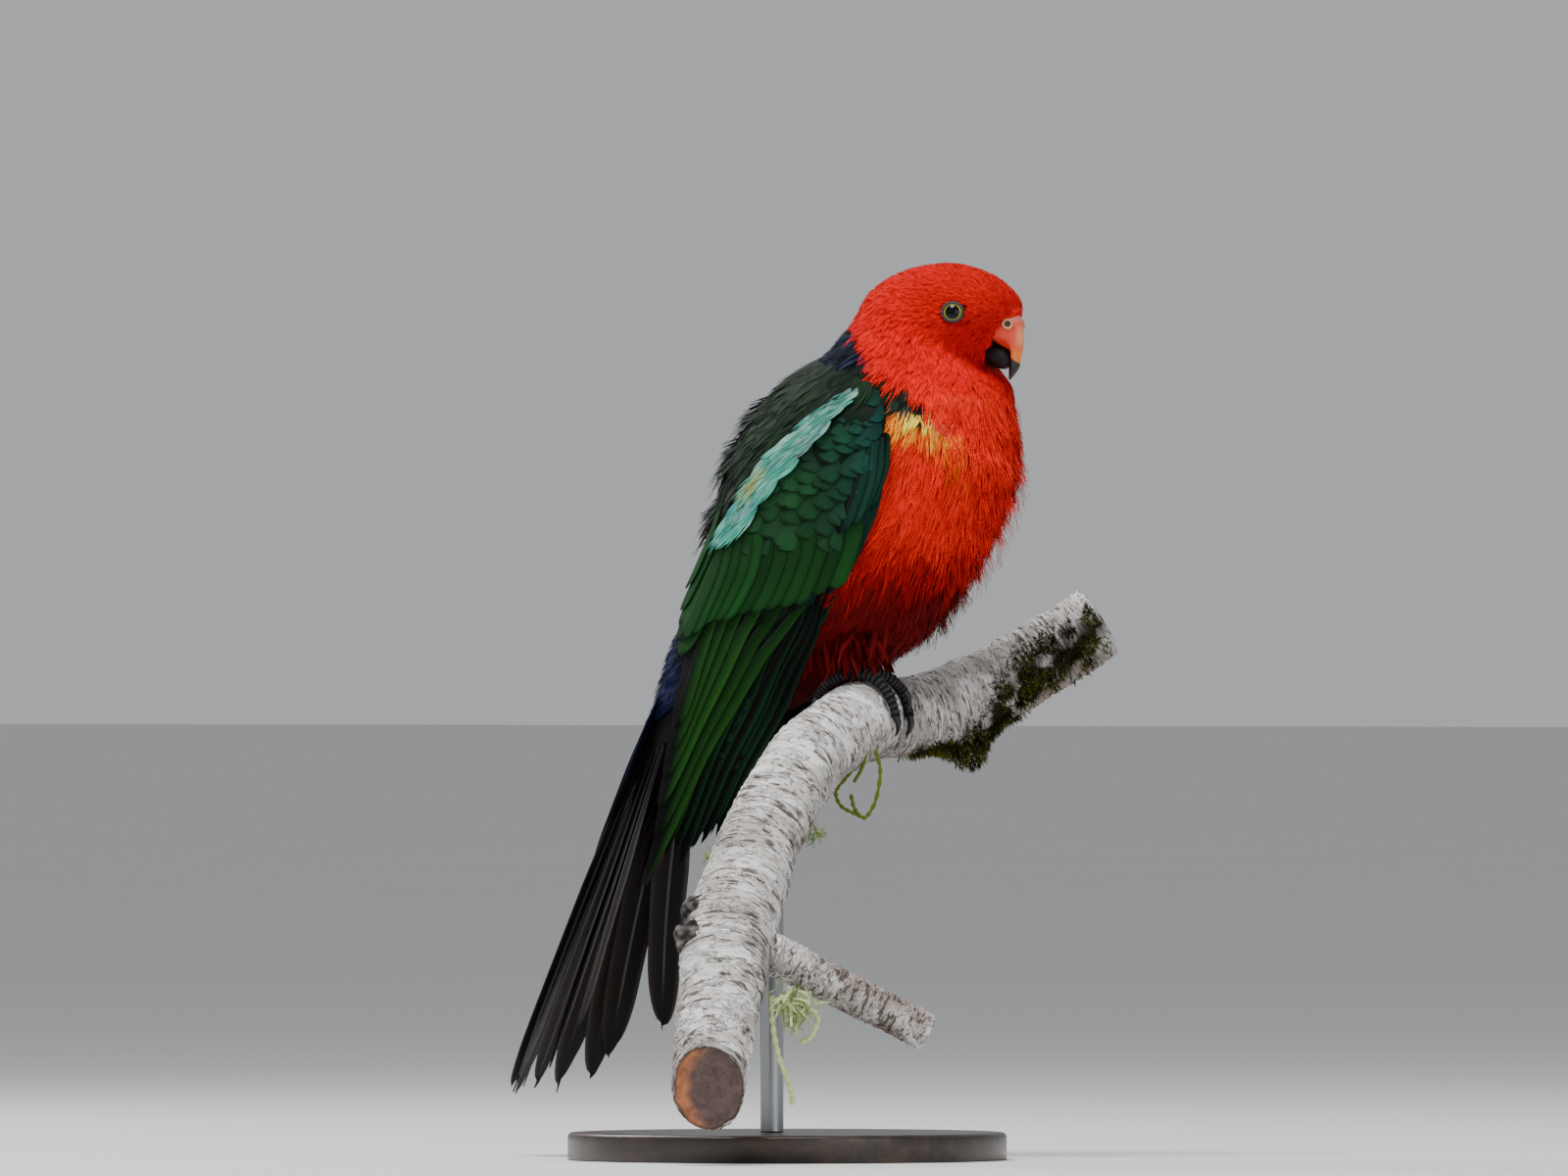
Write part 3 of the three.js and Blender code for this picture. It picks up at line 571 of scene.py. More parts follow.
# Groups of the contour coat, from low to high along the body: at each s a feather's size and the gap to the
# next, in mm. The breast has loose feathers in front, some of them in clumps at these s. The back has long
# flank feathers, which fill the gap between the body and each folded wing.
headCoat = dict(low=6.2, high=13.0, s=[6, 8, 9.5, 11, 12, 13], mm=[9, 6.2, 4.4, 3.4, 2.7, 2.2],
                gap=[2.2, 1.6, 1.3, 1.15, 1.05, 1.0])
breastCoat = dict(low=0.9, high=6.8, s=[0.9, 2, 4, 5.5, 6.5], mm=[17, 18, 16, 12.5, 9.5],
                  gap=[4.2, 4.1, 3.9, 3.3, 2.7], loose=150, clumps=[5.35, 4.95, 4.6, 4.15, 3.75, 3.5],
                  clumpSize=12)
backCoat = dict(low=0.6, high=7.4, s=[0.6, 3, 5, 6.6, 7.4], mm=[16, 16, 13, 8.5, 8],
                gap=[4.6, 4.3, 3.8, 2.9, 2.6], flank=160, flankLonger=14)
coatShown = 0.65  # part of a feather's size between its root and the place whose colour it shows


def sizeAt(coat, s, key="mm"):
    return np.interp(s, coat["s"], coat[key])


# Brick rows of roots over the body: a row's roots stand a gap apart round the loft, and the rows a gap apart
# along its widest side. keep(roots, shown, s, degrees) says which of them stay.
def rootsOn(coat, keep):
    found = []
    s = coat["low"]
    ring = np.linspace(0, 2 * np.pi, 361)
    while s < coat["high"]:
        perS, perTheta = loftScale(bodyRows, np.full(len(ring), s), ring)
        gapHere = sizeAt(coat, s, "gap")
        arc = np.concatenate([[0], np.cumsum((perTheta[1:] + perTheta[:-1]) / 2 * np.diff(ring))])
        count = max(8, int(arc[-1] / gapHere))
        place = (np.arange(count) + rng.random() + rng.uniform(-0.3, 0.3, count)) / count % 1
        theta = np.interp(place * arc[-1], arc, ring)
        own = np.interp(theta, ring, perS)
        theta = theta[rng.random(count) < own / perS.max()]
        found.append(np.stack([s + rng.uniform(-0.4, 0.4, len(theta)) * gapHere / perS.max(), theta], 1))
        s += gapHere / perS.max()
    s, theta = np.concatenate(found).T
    shownS = s - coatShown * sizeAt(coat, s) / loftScale(bodyRows, s, theta)[0]
    shownS = np.clip(shownS, 0, len(bodyRows) - 1)
    roots, shown = loftPoint(bodyRows, s, theta), loftPoint(bodyRows, shownS, theta)
    kept = keep(roots, shown, shownS, fromBack(theta))
    return s[kept], theta[kept], shown[kept], shownS[kept]


# Further feathers beside those found, each of which shows the colour of a place 0.4 of a row below its root
def added(found, s, theta):
    further = (s, theta, loftPoint(bodyRows, s - 0.4, theta), s - 0.4)
    return [np.concatenate(pair) for pair in zip(found, further)]


eyes = dict(s=10.05, theta=np.radians(90.7), radius=5.2, depth=3.3, lidRadius=4.35, lidThickness=0.8,
            beads=22, bare=4.9, pupil=rgb(2, 2, 3), iris=rgb(226, 218, 70), lid=rgb(44, 36, 32))


# Level and upright axes of a face whose normal is given
def faceAxes(normal):
    level = unit(np.cross(normal, [0, 0, 1.0]))
    return level, np.cross(normal, level)


# The eye's place on the head and the way that it looks
def eyeFrame(side):
    s, theta = np.array([eyes["s"]]), np.array([eyes["theta"]])
    alongWay, roundWay = loftSlopes(bodyRows, s, theta, side)
    normal = unit(np.cross(alongWay[0], roundWay[0]))
    if normal[1] * side < 0:
        normal = -normal
    return loftPoint(bodyRows, s, theta, 0.0, side)[0], normal


eyePoints = [eyeFrame(side)[0] for side, _ in sides]


# Where the head isn't bare: outside the lid rings and the root of the bill
def offBare(points):
    clear = np.ones(len(points), bool)
    for centre in eyePoints:
        clear &= np.linalg.norm(points - centre, axis=1) > eyes["bare"]
    x, y, z = points[:, 0], np.abs(points[:, 1]), points[:, 2]
    return clear & ~((x > 62.5) & (y < 8.2 - (z > 163) * 3) & (z > 141.5) & (z < 167 - 0.35 * y))


def coatPiece(name, made, material, slot, *nodes):
    piece = meshPiece(name, made["points"], made["faces"], material,
                      uvs=dict(OFBake=made["bake"], web=made["web"]), colours=dict(tint=made["tint"]))
    settle(piece, slot, *nodes)
    print(name, len(made["faces"]) * 2, "triangles")


def makeHeadCoat():
    s, theta, p, shownS = rootsOn(
        headCoat, lambda roots, p, s, a: offBare(roots) & offBare(p) & (greenShare(p, s, a) < 0.5))
    n = len(s)
    size = sizeAt(headCoat, s)
    tint = bodyColour(p, shownS, theta) * (1 + 0.05 * rng.normal(0, 1, (n, 1)) + 0.06 * blotch(p, 6)[:, None])
    length = size * rng.uniform(0.85, 1.15, n)
    lift = 0.35 + 0.07 * size * rng.uniform(0.4, 1.4, n)
    made = strandFeathers(bodyRows, s, theta, 1, length, size * 0.42, lift, rng.normal(0, 0.1, n), 4,
                          tint * 0.88, tint * 1.08, sink=1.1, arch=0.25, ragged=0.1, steps=4)
    coatPiece("coat_head", made, redFeather, "red_plumage")


def makeBreastCoat():
    found = rootsOn(breastCoat, lambda roots, p, s, a: (greenShare(p, s, a) < 0.5) & ((a > 84) | (s > 5.5)))
    loose = breastCoat["loose"]
    looseS, looseTheta = rng.uniform(2.7, 5.6, loose), np.radians(180 + rng.uniform(-48, 48, loose))
    clumps = np.repeat(breastCoat["clumps"], breastCoat["clumpSize"])
    looseS[:len(clumps)] = clumps + rng.normal(0, 0.05, len(clumps))
    looseTheta[:len(clumps)] = np.pi + rng.normal(0, 0.2, len(clumps))
    s, theta, p, shownS = added(found, looseS, looseTheta)
    n = len(s)
    stray = np.arange(n) >= n - loose
    size = sizeAt(breastCoat, s)
    front = smooth(120, 175, fromBack(theta))
    clump, tuck = blotch(p, 7, 3), bellyTuck(s, theta)
    tint = bodyColour(p, shownS, theta) * (1 + 0.08 * rng.normal(0, 1, (n, 1)) + 0.12 * clump[:, None])
    turn = rng.normal(0, 0.14, n) + 0.22 * blotch(p, 11, 5)
    lift = 0.7 + (1.0 + 1.2 * front) * rng.uniform(0.2, 1.4, n) + 0.7 * clump
    lift = lift + stray * rng.uniform(1.5, 4.0, n) - tuck
    lift[n - loose:n - loose + len(clumps)] += 2.0
    made = strandFeathers(bodyRows, s, theta, 1, size * rng.uniform(0.8, 1.2, n), size * (0.5 - 0.2 * stray),
                          lift, turn, 8, tint * 0.78, tint * 1.12, sink=1.3 + tuck, arch=0.5, ragged=0.2,
                          curl=0.4)
    coatPiece("coat_breast", made, redFeather, "red_plumage")


def makeBackCoat():
    found = rootsOn(backCoat, lambda roots, p, s, a: (greenShare(p, s, a) >= 0.5) & ((a < 74) | (s > 5.2)))
    flank = backCoat["flank"]
    flankS = rng.uniform(2.0, 3.6, flank)
    flankTheta = np.radians(rng.uniform(62, 88, flank)) * rng.choice([-1, 1], flank)
    s, theta, p, shownS = added(found, flankS, flankTheta)
    n = len(s)
    onFlank = np.arange(n) >= n - flank
    size = sizeAt(backCoat, s) + backCoat["flankLonger"] * onFlank
    # Flank feathers in the gap under each wing are painted half as bright: painted shade
    tint = bodyColour(p, shownS, theta) * (1 + 0.14 * rng.normal(0, 1, (n, 1))) * (1 - 0.5 * onFlank[:, None])
    darker = (rng.random(n) < 0.35)[:, None] * smooth(3, 5, s)[:, None]
    tip = blend(tint * 1.2, plumage["mantleTip"], darker)
    length = size * rng.uniform(0.85, 1.15, n)
    lift = 0.5 + 1.1 * rng.uniform(0.2, 1.2, n) + 1.2 * smooth(2.6, 1.2, s) * rng.random(n)
    lift = lift + onFlank * rng.uniform(1.0, 6.5, n)
    made = strandFeathers(bodyRows, s, theta, 1, length, size * 0.62, lift, rng.normal(0, 0.12, n), 8,
                          tint * 0.6, tip, sink=1.2, arch=0.6, ragged=0.12)
    coatPiece("coat_back", made, greenFeather, "green_plumage")


print("skin and coat")
makeSkin()
makeHeadCoat()
makeBreastCoat()
makeBackCoat()

# Wings. A step of s along the wing is about 27 mm, and the wing is about 40 mm deep to its side.
wingLook = dict(
    leading=rgb(26, 62, 48), bend=rgb(22, 66, 56), lesser=rgb(17, 62, 38), teal=rgb(16, 64, 56),
    median=rgb(16, 62, 28), greater=rgb(18, 66, 24), flight=rgb(16, 56, 18), flightEdge=rgb(48, 100, 32),
    tealEdge=rgb(24, 84, 48), black=rgb(9, 10, 11), stripe=rgb(84, 212, 184), stripePale=rgb(184, 248, 230),
    stripeBlue=rgb(96, 186, 206), yellow=rgb(224, 206, 70), mantle=rgb(24, 46, 26), mantleTip=rgb(7, 10, 8),
    arm=rgb(10, 26, 16), thickness=0.16, tilt=1.1, crown=0.2, step=27.0, halfWidth=40)

# Tiers of vanes. Roots and tips are [s, degrees] on the wing's loft, from the vane at the leading edge to the
# one at the back edge. Half widths and heights over the loft are in mm, and bow swings the middle forwards.
wingTiers = dict(
    outerPrimaries=dict(count=5, root=[[5.0, 108], [4.9, 100]], tip=[[1.35, 141], [0.72, 121]], bow=9,
                        half=[3.8, 4.2], height=[0.9, 1.2], point=0.35, kind="outer"),
    primaries=dict(count=6, root=[[5.2, 103], [4.8, 82]], tip=[[1.0, 131], [0.6, 100]], bow=9,
                   half=[3.8, 4.8], height=[1.5, 2.0], point=0.4, kind="primary"),
    secondaries=dict(count=6, root=[[5.4, 98], [5.3, 52]], tip=[[0.5, 99], [2.3, 80]], bow=4,
                     half=[5.0, 5.8], height=[2.2, 3.8], point=0.3, kind="flight"),
    tertials=dict(count=5, root=[[5.8, 54], [5.8, 30]], tip=[[3.2, 58], [4.1, 34]], bow=0,
                  half=[6.0, 6.0], height=[2.6, 4.6], point=0.0, kind="greater"),
    greaterCoverts=dict(count=12, root=[[6.3, 102], [5.3, 45]], tip=[[5.25, 106], [3.55, 56]], bow=0,
                        half=[4.6, 6.0], height=[3.0, 5.2], point=0.0, kind="greater"),
    primaryCoverts=dict(count=5, root=[[7.0, 103], [6.7, 92]], tip=[[5.35, 109], [4.75, 99]], bow=1,
                        half=[2.9, 4.2], height=[1.8, 3.4], point=0.25, kind="leading"),
    alula=dict(count=4, root=[[7.25, 102], [7.0, 96]], tip=[[6.2, 106], [5.85, 101]], bow=1,
               half=[2.6, 3.4], height=[2.6, 4.2], point=0.2, kind="leading"),
    underwing=dict(count=5, root=[[5.2, 108], [5.2, 52]], tip=[[2.0, 112], [2.9, 66]], bow=0,
                   half=[8.0, 8.0], height=[-0.4, -0.4], point=0.2, kind="outer"))
# The field of round-tipped coverts, in mm at each s of key; front and back are its edges in degrees
wingField = dict(low=4.7, high=7.72, key=[4.9, 5.4, 5.9, 6.6, 7.2, 7.75], front=[100, 101, 103, 102, 99, 93],
                 back=[45, 53, 60, 67, 72, 77], half=[5.6, 5.2, 4.5, 4.0, 3.6, 3.1],
                 length=[20, 17, 13.0, 11.0, 10.0, 8.5], step=[7.5, 6.6, 5.2, 4.4, 3.9, 3.4],
                 height=[4.1, 4.2, 4.3, 4.2, 3.8, 2.4])


# Colours of one vane's webs: u above 0 is the outer web, which shows; t runs to the tip, and f to the back
# edge of a flight tier or up the field of coverts
def webColour(kind, f, u, t, own):
    w = wingLook
    f, u, t = [np.asarray(v, float)[..., None] for v in np.broadcast_arrays(f, u, t)]
    if kind in ("flight", "primary", "outer"):
        inward = dict(outer=0 * f, primary=0.75 * smooth(0.3, 1.0, f), flight=1 + 0 * f)[kind]
        edge = blend(w["tealEdge"], w["flightEdge"], smooth(0.3, 0.7, inward))
        edgeShare = smooth(0.6, 0.95, u) * (0.45 + 0.55 * smooth(0.15, 0.6, t))
        outer = blend(blend(w["black"], w["flight"], inward), edge, edgeShare)
        outerShare = smooth(-0.12, 0.12, u - 0.3 * t * t) * (1 - 0.8 * smooth(0.92, 1.0, t))
        colour = blend(w["black"], outer, outerShare)
    elif kind == "leading":
        outer = blend(w["leading"], w["bend"], smooth(0.5, 1.0, u))
        colour = blend(w["black"], outer, smooth(0.0, 0.3, u) * (1 - 0.6 * smooth(0.85, 1.0, t)))
    else:
        base = w["greater"] if kind == "greater" else w["median"]
        if kind == "field":
            base = blend(w["median"], w["lesser"], smooth(0.3, 0.6, f))
            base = blend(base, w["teal"], smooth(0.55, 1.0, f))
        colour = base * (0.85 + 0.25 * smooth(0.4, 0.9, t) * smooth(-0.6, 0.4, u)) + 0 * u
        # Dark along the inner edge and round the tip of each covert: painted shadow at its outline
        colour = blend(colour, w["black"], 0.45 * smooth(-0.1, -0.8, u) * smooth(0.97, 0.7, t))
        colour = blend(colour, w["black"], 0.6 * smooth(0.94, 1.0, t))
        colour = blend(colour, w["black"], 0.35 * (1 - smooth(0.02, 0.1, np.abs(u))))
    return np.clip(colour * (1 + 0.16 * own), 0, 1)


# Vanes ready to join, each with its patch at its root's place
def packed(points, faces, uv, tint, turned, place):
    patch = (uv * [0.5, 1.0] + [0.5, 0.0]) * patchSize
    return dict(points=points.reshape(-1, 3), faces=faces[:, ::-1] if turned else faces, web=uv,
                tint=np.clip(tint, 0, 1), bake=np.repeat(place, points.shape[1], 0) + patch)


# A tier of vanes on the wing's loft: each shaft runs from its root to its tip in (s, theta), its web turns
# round the loft by u times its half width, and its outer edge stands a little over its neighbour
def tierVanes(tier, side):
    count = tier["count"]
    f = perVane(np.linspace(0, 1, count))
    rootS, rootA, tipS, tipA = [blend(tier[end][0][i], tier[end][1][i], f)
                                for end in ("root", "tip") for i in (0, 1)]
    jitter = rng.normal(0, 1, (count, 1, 1, 4))
    tipS, tipA = tipS + 0.03 * jitter[..., 0], tipA + 0.5 * jitter[..., 1]
    half = blend(tier["half"][0], tier["half"][1], f) * (1 + 0.04 * jitter[..., 2])

    def placeAt(t, u, height):
        s = blend(rootS, tipS, t)
        theta = np.radians(blend(rootA, tipA, t) + tier["bow"] * (1 - f) * 4 * t * (1 - t))
        theta = theta + u * half / spline(wingRows, s)[..., 4]
        lifted = (blend(tier["height"][0], tier["height"][1], t) + height + wingLook["tilt"] * u
                  - wingLook["crown"] * u * u + 0.8 * f + 0.05 * jitter[..., 3])
        return loftPoint(wingRows, s, theta, lifted, side)

    points, faces, uv = vaneGrid(placeAt, count, 16, wingLook["thickness"], 0.012, point=tier["point"])
    own = np.repeat(jitter[:, 0, 0, 3], points.shape[1])[:, None]
    tint = webColour(tier["kind"], np.repeat(f[:, 0, 0], points.shape[1]), uv[:, 0], uv[:, 1], own)
    place = rootPlace(wingRows, rootS[:, 0, 0], np.radians(rootA[:, 0, 0]))
    return packed(points, faces, uv, tint, side < 0, place)


# Covert roots in rows like bricks: the roots of a row share one s, and every second row stands half a vane
# over. Gives s, degrees and the place between the field's edges.
def fieldRoots():
    w, key = wingField, wingField["key"]
    rows, s, odd = [], w["high"], 0
    while s > w["low"]:
        size, front, back = [np.interp(s, key, w[k]) for k in ("half", "front", "back")]
        wide = spline(wingRows, np.array([s]))[0, 4]
        count = int(np.radians(front - back) * wide / (size * 1.3))
        place = (np.arange(count) + 0.5 * (odd % 2) + 0.25 + rng.uniform(-0.16, 0.16, count)) / count
        place = place[s > blend(4.65, 5.95, np.clip(place, 0, 1))]
        theta = blend(back, front, np.clip(place, 0, 1))
        bowed = s + 0.18 * np.sin(np.pi * place) + rng.uniform(-0.03, 0.03, len(place))
        rows.append(np.stack([bowed, theta, place], 1))
        s -= np.interp(s, key, w["step"]) / wingLook["step"]
        odd += 1
    return np.concatenate(rows)


def fieldVanes(side):
    w, key = wingField, wingField["key"]
    roots = fieldRoots()
    rootS, degrees, across = [perVane(roots[:, i]) for i in range(3)]
    count = len(roots)
    jitter = rng.normal(0, 1, (count, 1, 1, 4))
    half, length, high = [np.interp(rootS, key, w[k]) for k in ("half", "length", "height")]
    half, length = half * (1 + 0.07 * jitter[..., 0]), length * (1 + 0.07 * jitter[..., 1])
    lean = np.radians(blend(-7, 3, across) + 2.5 * jitter[..., 2])

    def placeAt(t, u, height):
        s = rootS - t * length / wingLook["step"]
        theta = np.radians(degrees) + (u * half + t * length * np.sin(lean)) / spline(wingRows, s)[..., 4]
        return loftPoint(wingRows, s, theta, high - 0.7 + 1.4 * t ** 1.4 + height + 0.3 * u - 0.55 * u * u
                         + 0.12 * jitter[..., 3], side)

    points, faces, uv = vaneGrid(placeAt, count, 10, wingLook["thickness"], 0.02, tipShape=2.0)
    each = points.shape[1]
    own = np.repeat(jitter[:, 0, 0, 3], each)[:, None]
    share = smooth(5.2, 7.6, roots[:, 0]) * 0.75 + 0.25 * smooth(0.4, 1.0, roots[:, 2])
    tint = webColour("field", np.repeat(share, each), uv[:, 0], uv[:, 1], own)
    place = rootPlace(wingRows, roots[:, 0], np.radians(roots[:, 1]), 0.25)
    return packed(points, faces, uv, tint, side < 0, place)


# The shoulder's soft strands: the scapulars' field with its edges in degrees at s, the frayed tips over it at
# these s, and the pale stripe's middle line in degrees, with its half width and feather length in mm
shoulder = dict(low=5.35, high=8.0, rowGap=3.6, rootGap=4.0, frontS=[5.3, 6.06, 6.84, 7.67, 8.0],
                front=[44, 57, 66, 72, 84], backS=[5.3, 6.5, 8.0], back=[17, 6, -4], length=[17, 16, 12],
                overS=[5.3, 6.5, 7.6, 8.0], over=[3.2, 4.6, 4.8, 3.0], fray=44,
                frayS=[6.95, 6.85, 6.3, 6.2, 5.45, 5.35])
stripe = dict(rows=32, s=[4.76, 4.97, 5.28, 5.68, 6.06, 6.84, 7.67],
              middle=[40.5, 48, 54.4, 59.7, 63.1, 71.3, 77.6], wideS=[5.2, 5.7, 6.3, 6.8, 7.8],
              wide=[1.2, 2.6, 2.9, 2.4, 1.4], lengthS=[5.2, 6.2, 7.8], length=[15, 14, 10])


# Scapulars: long strands over the shoulder, which lift and darken towards the back edge
def mantleStrands(side):
    w, rows, s = shoulder, [], shoulder["high"]
    while s > w["low"]:
        front, back = np.interp(s, w["frontS"], w["front"]), np.interp(s, w["backS"], w["back"])
        count = int(np.radians(front - back) * wingLook["halfWidth"] / w["rootGap"])
        place = (np.arange(count) + rng.uniform(0, 1, count)) / count
        rows.append(np.stack([s + rng.uniform(-0.05, 0.05, count), blend(back, front, place), place], 1))
        s -= w["rowGap"] / wingLook["step"]
    s, theta, place = np.concatenate(rows).T
    n = len(s)
    backShare = smooth(0.55, 0.15, place)
    length = np.interp(s, w["backS"], w["length"]) * rng.uniform(0.85, 1.2, n)
    length = length + 7 * backShare * smooth(7.3, 6.6, s)
    tint = wingLook["mantle"] * (1 + 0.22 * rng.normal(0, 1, (n, 1)))
    dark = backShare * smooth(7.5, 6.6, s) + 0.5 * (rng.random(n) < 0.25) + smooth(6.2, 5.6, s)
    tip = towards(tint * 1.2, wingLook["mantleTip"], np.clip(dark, 0, 1))
    over = np.interp(s, w["overS"], w["over"]) * blend(0.55, 1.0, place)
    lift = over + rng.uniform(0.8, 2.0, n) + 3.2 * backShare * rng.random(n) ** 2
    return strandFeathers(wingRows, s, np.radians(theta), side, length, length * 0.55, lift,
                          rng.normal(-0.22, 0.12, n), 10, tint * 0.7, tip, sink=-over, arch=0.5, ragged=0.14)


# Frayed dark tips that stand off the back edge of the scapulars
def frayStrands(side):
    n = shoulder["fray"]
    at = rng.choice(shoulder["frayS"], n) + rng.uniform(-0.06, 0.06, n)
    tint, tip = [np.tile(colour, (n, 1)) for colour in (wingLook["mantle"] * 0.6, wingLook["mantleTip"])]
    return strandFeathers(wingRows, at, np.radians(rng.uniform(0, 30, n)), side, rng.uniform(19, 27, n),
                          np.full(n, 7.5), rng.uniform(7.0, 10.5, n), rng.normal(-0.3, 0.15, n), 5, tint, tip,
                          sink=-2.5, arch=0.3, ragged=0.25)


# The pale stripe: rows of three feathers along its line, with a yellow spot in its middle
def stripeStrands(side):
    s = np.repeat(np.linspace(5.25, 7.85, stripe["rows"]), 3)
    n = len(s)
    across = np.tile([-1.0, 0.0, 1.0], n // 3)
    wide = np.interp(s, stripe["wideS"], stripe["wide"]) * (1 + 0.35 * np.sin(s * 17))
    theta = (np.interp(s - 0.12, stripe["s"], stripe["middle"])
             + np.degrees(across * wide / wingLook["halfWidth"]) + rng.normal(0, 0.9, n))
    s = s + rng.uniform(-0.09, 0.09, n)
    hue = rng.random((n, 1))
    pale = blend(wingLook["stripe"], wingLook["stripePale"], smooth(0.3, 0.9, hue))
    pale = blend(pale, wingLook["stripeBlue"], smooth(0.22, 0.0, hue) * 0.8)
    pale = pale * (1 - 0.35 * (rng.random((n, 1)) < 0.2))
    spotted = np.exp(-((s - 6.1) / 0.2) ** 2) * (across < 0.5) * (rng.random(n) < 0.75)
    tip = towards(pale * 1.05, wingLook["yellow"], spotted)
    size = np.interp(s, stripe["lengthS"], stripe["length"]) * rng.uniform(0.85, 1.15, n)
    upper = smooth(7.2, 7.8, s)
    return strandFeathers(wingRows, s, np.radians(theta), side, size, size * 0.3, 7.1 - upper * 1.6,
                          rng.normal(-0.3, 0.09, n), 8, pale * 0.75, tip, sink=-5.4 + upper * 2.4, arch=0.2,
                          ragged=0.2, shift=0.55)


# A part of one colour, whose map is a patch in the corner, where no root is
def plainPart(points, faces, colour):
    n = len(points)
    corner = 0.01 + patchSize * np.stack([np.arange(n) % 16 / 15, np.arange(n) / n], 1)
    return dict(points=points, faces=faces, web=np.full((n, 2), 0.5), bake=corner,
                tint=plainTint(colour, points))


# The arm under the coverts: a rounded slab on the wing's loft, painted dark green as shade in the gaps
# between them
def armSlab(side):
    rowsAlong, columns = 24, 16
    s = np.linspace(7.75, 4.3, rowsAlong)[:, None]
    f = np.linspace(0, 1, columns)[None, :]
    key = [4.3, 5.5, 6.5, 7.4, 7.75]
    lead, trail = np.interp(s, key, [106, 107, 105, 99, 95]), np.interp(s, key, [60, 34, 32, 50, 78])
    thick = np.interp(s, key, [1.2, 2.6, 3.4, 2.8, 1.2])
    theta = np.radians(blend(lead, trail, f))
    dome = np.sqrt(np.maximum(0, 1 - (2 * f - 1) ** 4))
    top = loftPoint(wingRows, s + 0 * f, theta, 0.9 + thick * dome * blend(1, 0.8, f), side)
    low = loftPoint(wingRows, s + 0 * f, theta, 0.6 + 0 * f + 0 * s, side)
    points = np.concatenate([top, low[:, ::-1]], 1).reshape(-1, 3)
    faces = gridFaces(rowsAlong, columns * 2, closed=True)
    return plainPart(points, faces[:, ::-1] if side > 0 else faces, wingLook["arm"])


def makeWing(side, name):
    quills = [armSlab(side)] + [tierVanes(tier, side) for tier in wingTiers.values()]
    coatPiece(f"quills_{name}", joined(quills), quillFeather, "green_plumage", f"wing_{name}")
    coverts = [make(side) for make in (fieldVanes, mantleStrands, frayStrands, stripeStrands)]
    coatPiece(f"coverts_{name}", joined(coverts), greenFeather, "green_plumage")


print("wings")
for side, name in sides:
    makeWing(side, name)

# Tail, in mm from its root down its pitch. The flight feathers of a side, from the middle one to the outer
# one, end at these shares of its length, and towards their tips they fan out and drop by so much more.
tailLook = dict(
    length=202, pitch=np.radians(66.7), root=np.array([-86.7, 15.4]),
    shares=[1, 0.985, 0.965, 0.935, 0.88, 0.79], fan=[1, 5.5, 12.2, 21.3, 24, 46.3],
    drop=[0, 2.5, 7.6, 15.3, 19.6, 38.5],
    # blueSheen and edge are painted sheen: a blue gloss on the outer webs and pale lines along the vanes'
    # edges
    black=rgb(19, 16, 16), brown=rgb(44, 33, 28), blueSheen=rgb(24, 26, 50), coverts=rgb(18, 22, 54),
    edge=rgb(100, 92, 90), underRed=rgb(84, 10, 10), thickness=0.25)


# A place by the distance down the tail, across it to the left and under its top line
def tailPoint(distance, across, under):
    c, s = np.cos(tailLook["pitch"]), np.sin(tailLook["pitch"])
    x = tailLook["root"][0] - c * distance + s * under
    z = tailLook["root"][1] - s * distance - c * under
    return np.stack(np.broadcast_arrays(x, across, z), -1)


# Tail vanes from start to end. A shaft stands off the tail's middle by fan[0] + fan[1] x spread and under its
# top line by drop[0] + drop[1] x spread, where spread is (distance / length) ** 1.6.
def tailVanes(side, start, end, fan, drop, half, kind, point=0.3):
    count = len(end)
    start = np.full(count, start)
    endAt = perVane(end)
    fan0, fan1, drop0, drop1 = [perVane(v) for v in (*fan, *drop)]
    slope = np.arctan2(drop1, fan1 + 6)
    own = rng.normal(0, 1, (count, 1, 1))

    def placeAt(t, u, height):
        d = blend(perVane(start), endAt, t)
        spread = (d / tailLook["length"]) ** 1.6
        across, over = u * half, -height + 0.4 * u * u
        return tailPoint(d, side * (fan0 + fan1 * spread + across * np.cos(slope) - over * np.sin(slope)),
                         drop0 + drop1 * spread + across * np.sin(slope) + over * np.cos(slope) + 0.1 * own)

    points, faces, uv = vaneGrid(placeAt, count, 20, tailLook["thickness"], 0.018, point=point)
    u, t = uv[:, :1], uv[:, 1:]
    if kind == "rectrix":
        tint = blend(tailLook["black"], tailLook["brown"], smooth(-0.2, -0.8, u) * smooth(0.2, 0.8, t))
        # A blue gloss on the outer web towards the root: painted sheen
        tint = blend(tint, tailLook["blueSheen"], 0.4 * smooth(0.1, 0.6, u) * smooth(0.8, 0.3, t))
        # Pale lines along both edges of each flight feather: painted sheen
        tint = blend(tint, tailLook["edge"], 0.7 * smooth(0.8, 0.95, np.abs(u)) * smooth(0.1, 0.4, t))
    elif kind == "upper":
        tint = blend(tailLook["coverts"], tailLook["black"], smooth(0.5, 0.95, t) * 0.8)
    else:
        redShare = smooth(0.7, 1.0, np.abs(u)) * smooth(0.3, 0.8, t)
        tint = blend(tailLook["black"], tailLook["underRed"], redShare)
    tint = tint * (1 + 0.15 * np.repeat(own[:, 0], points.shape[1], 0))
    place = np.stack([0.5 + side * (fan0[:, 0, 0] + 0.3) / 60, start / tailLook["length"]], 1)
    return packed(points, faces, uv, tint, side > 0, place)


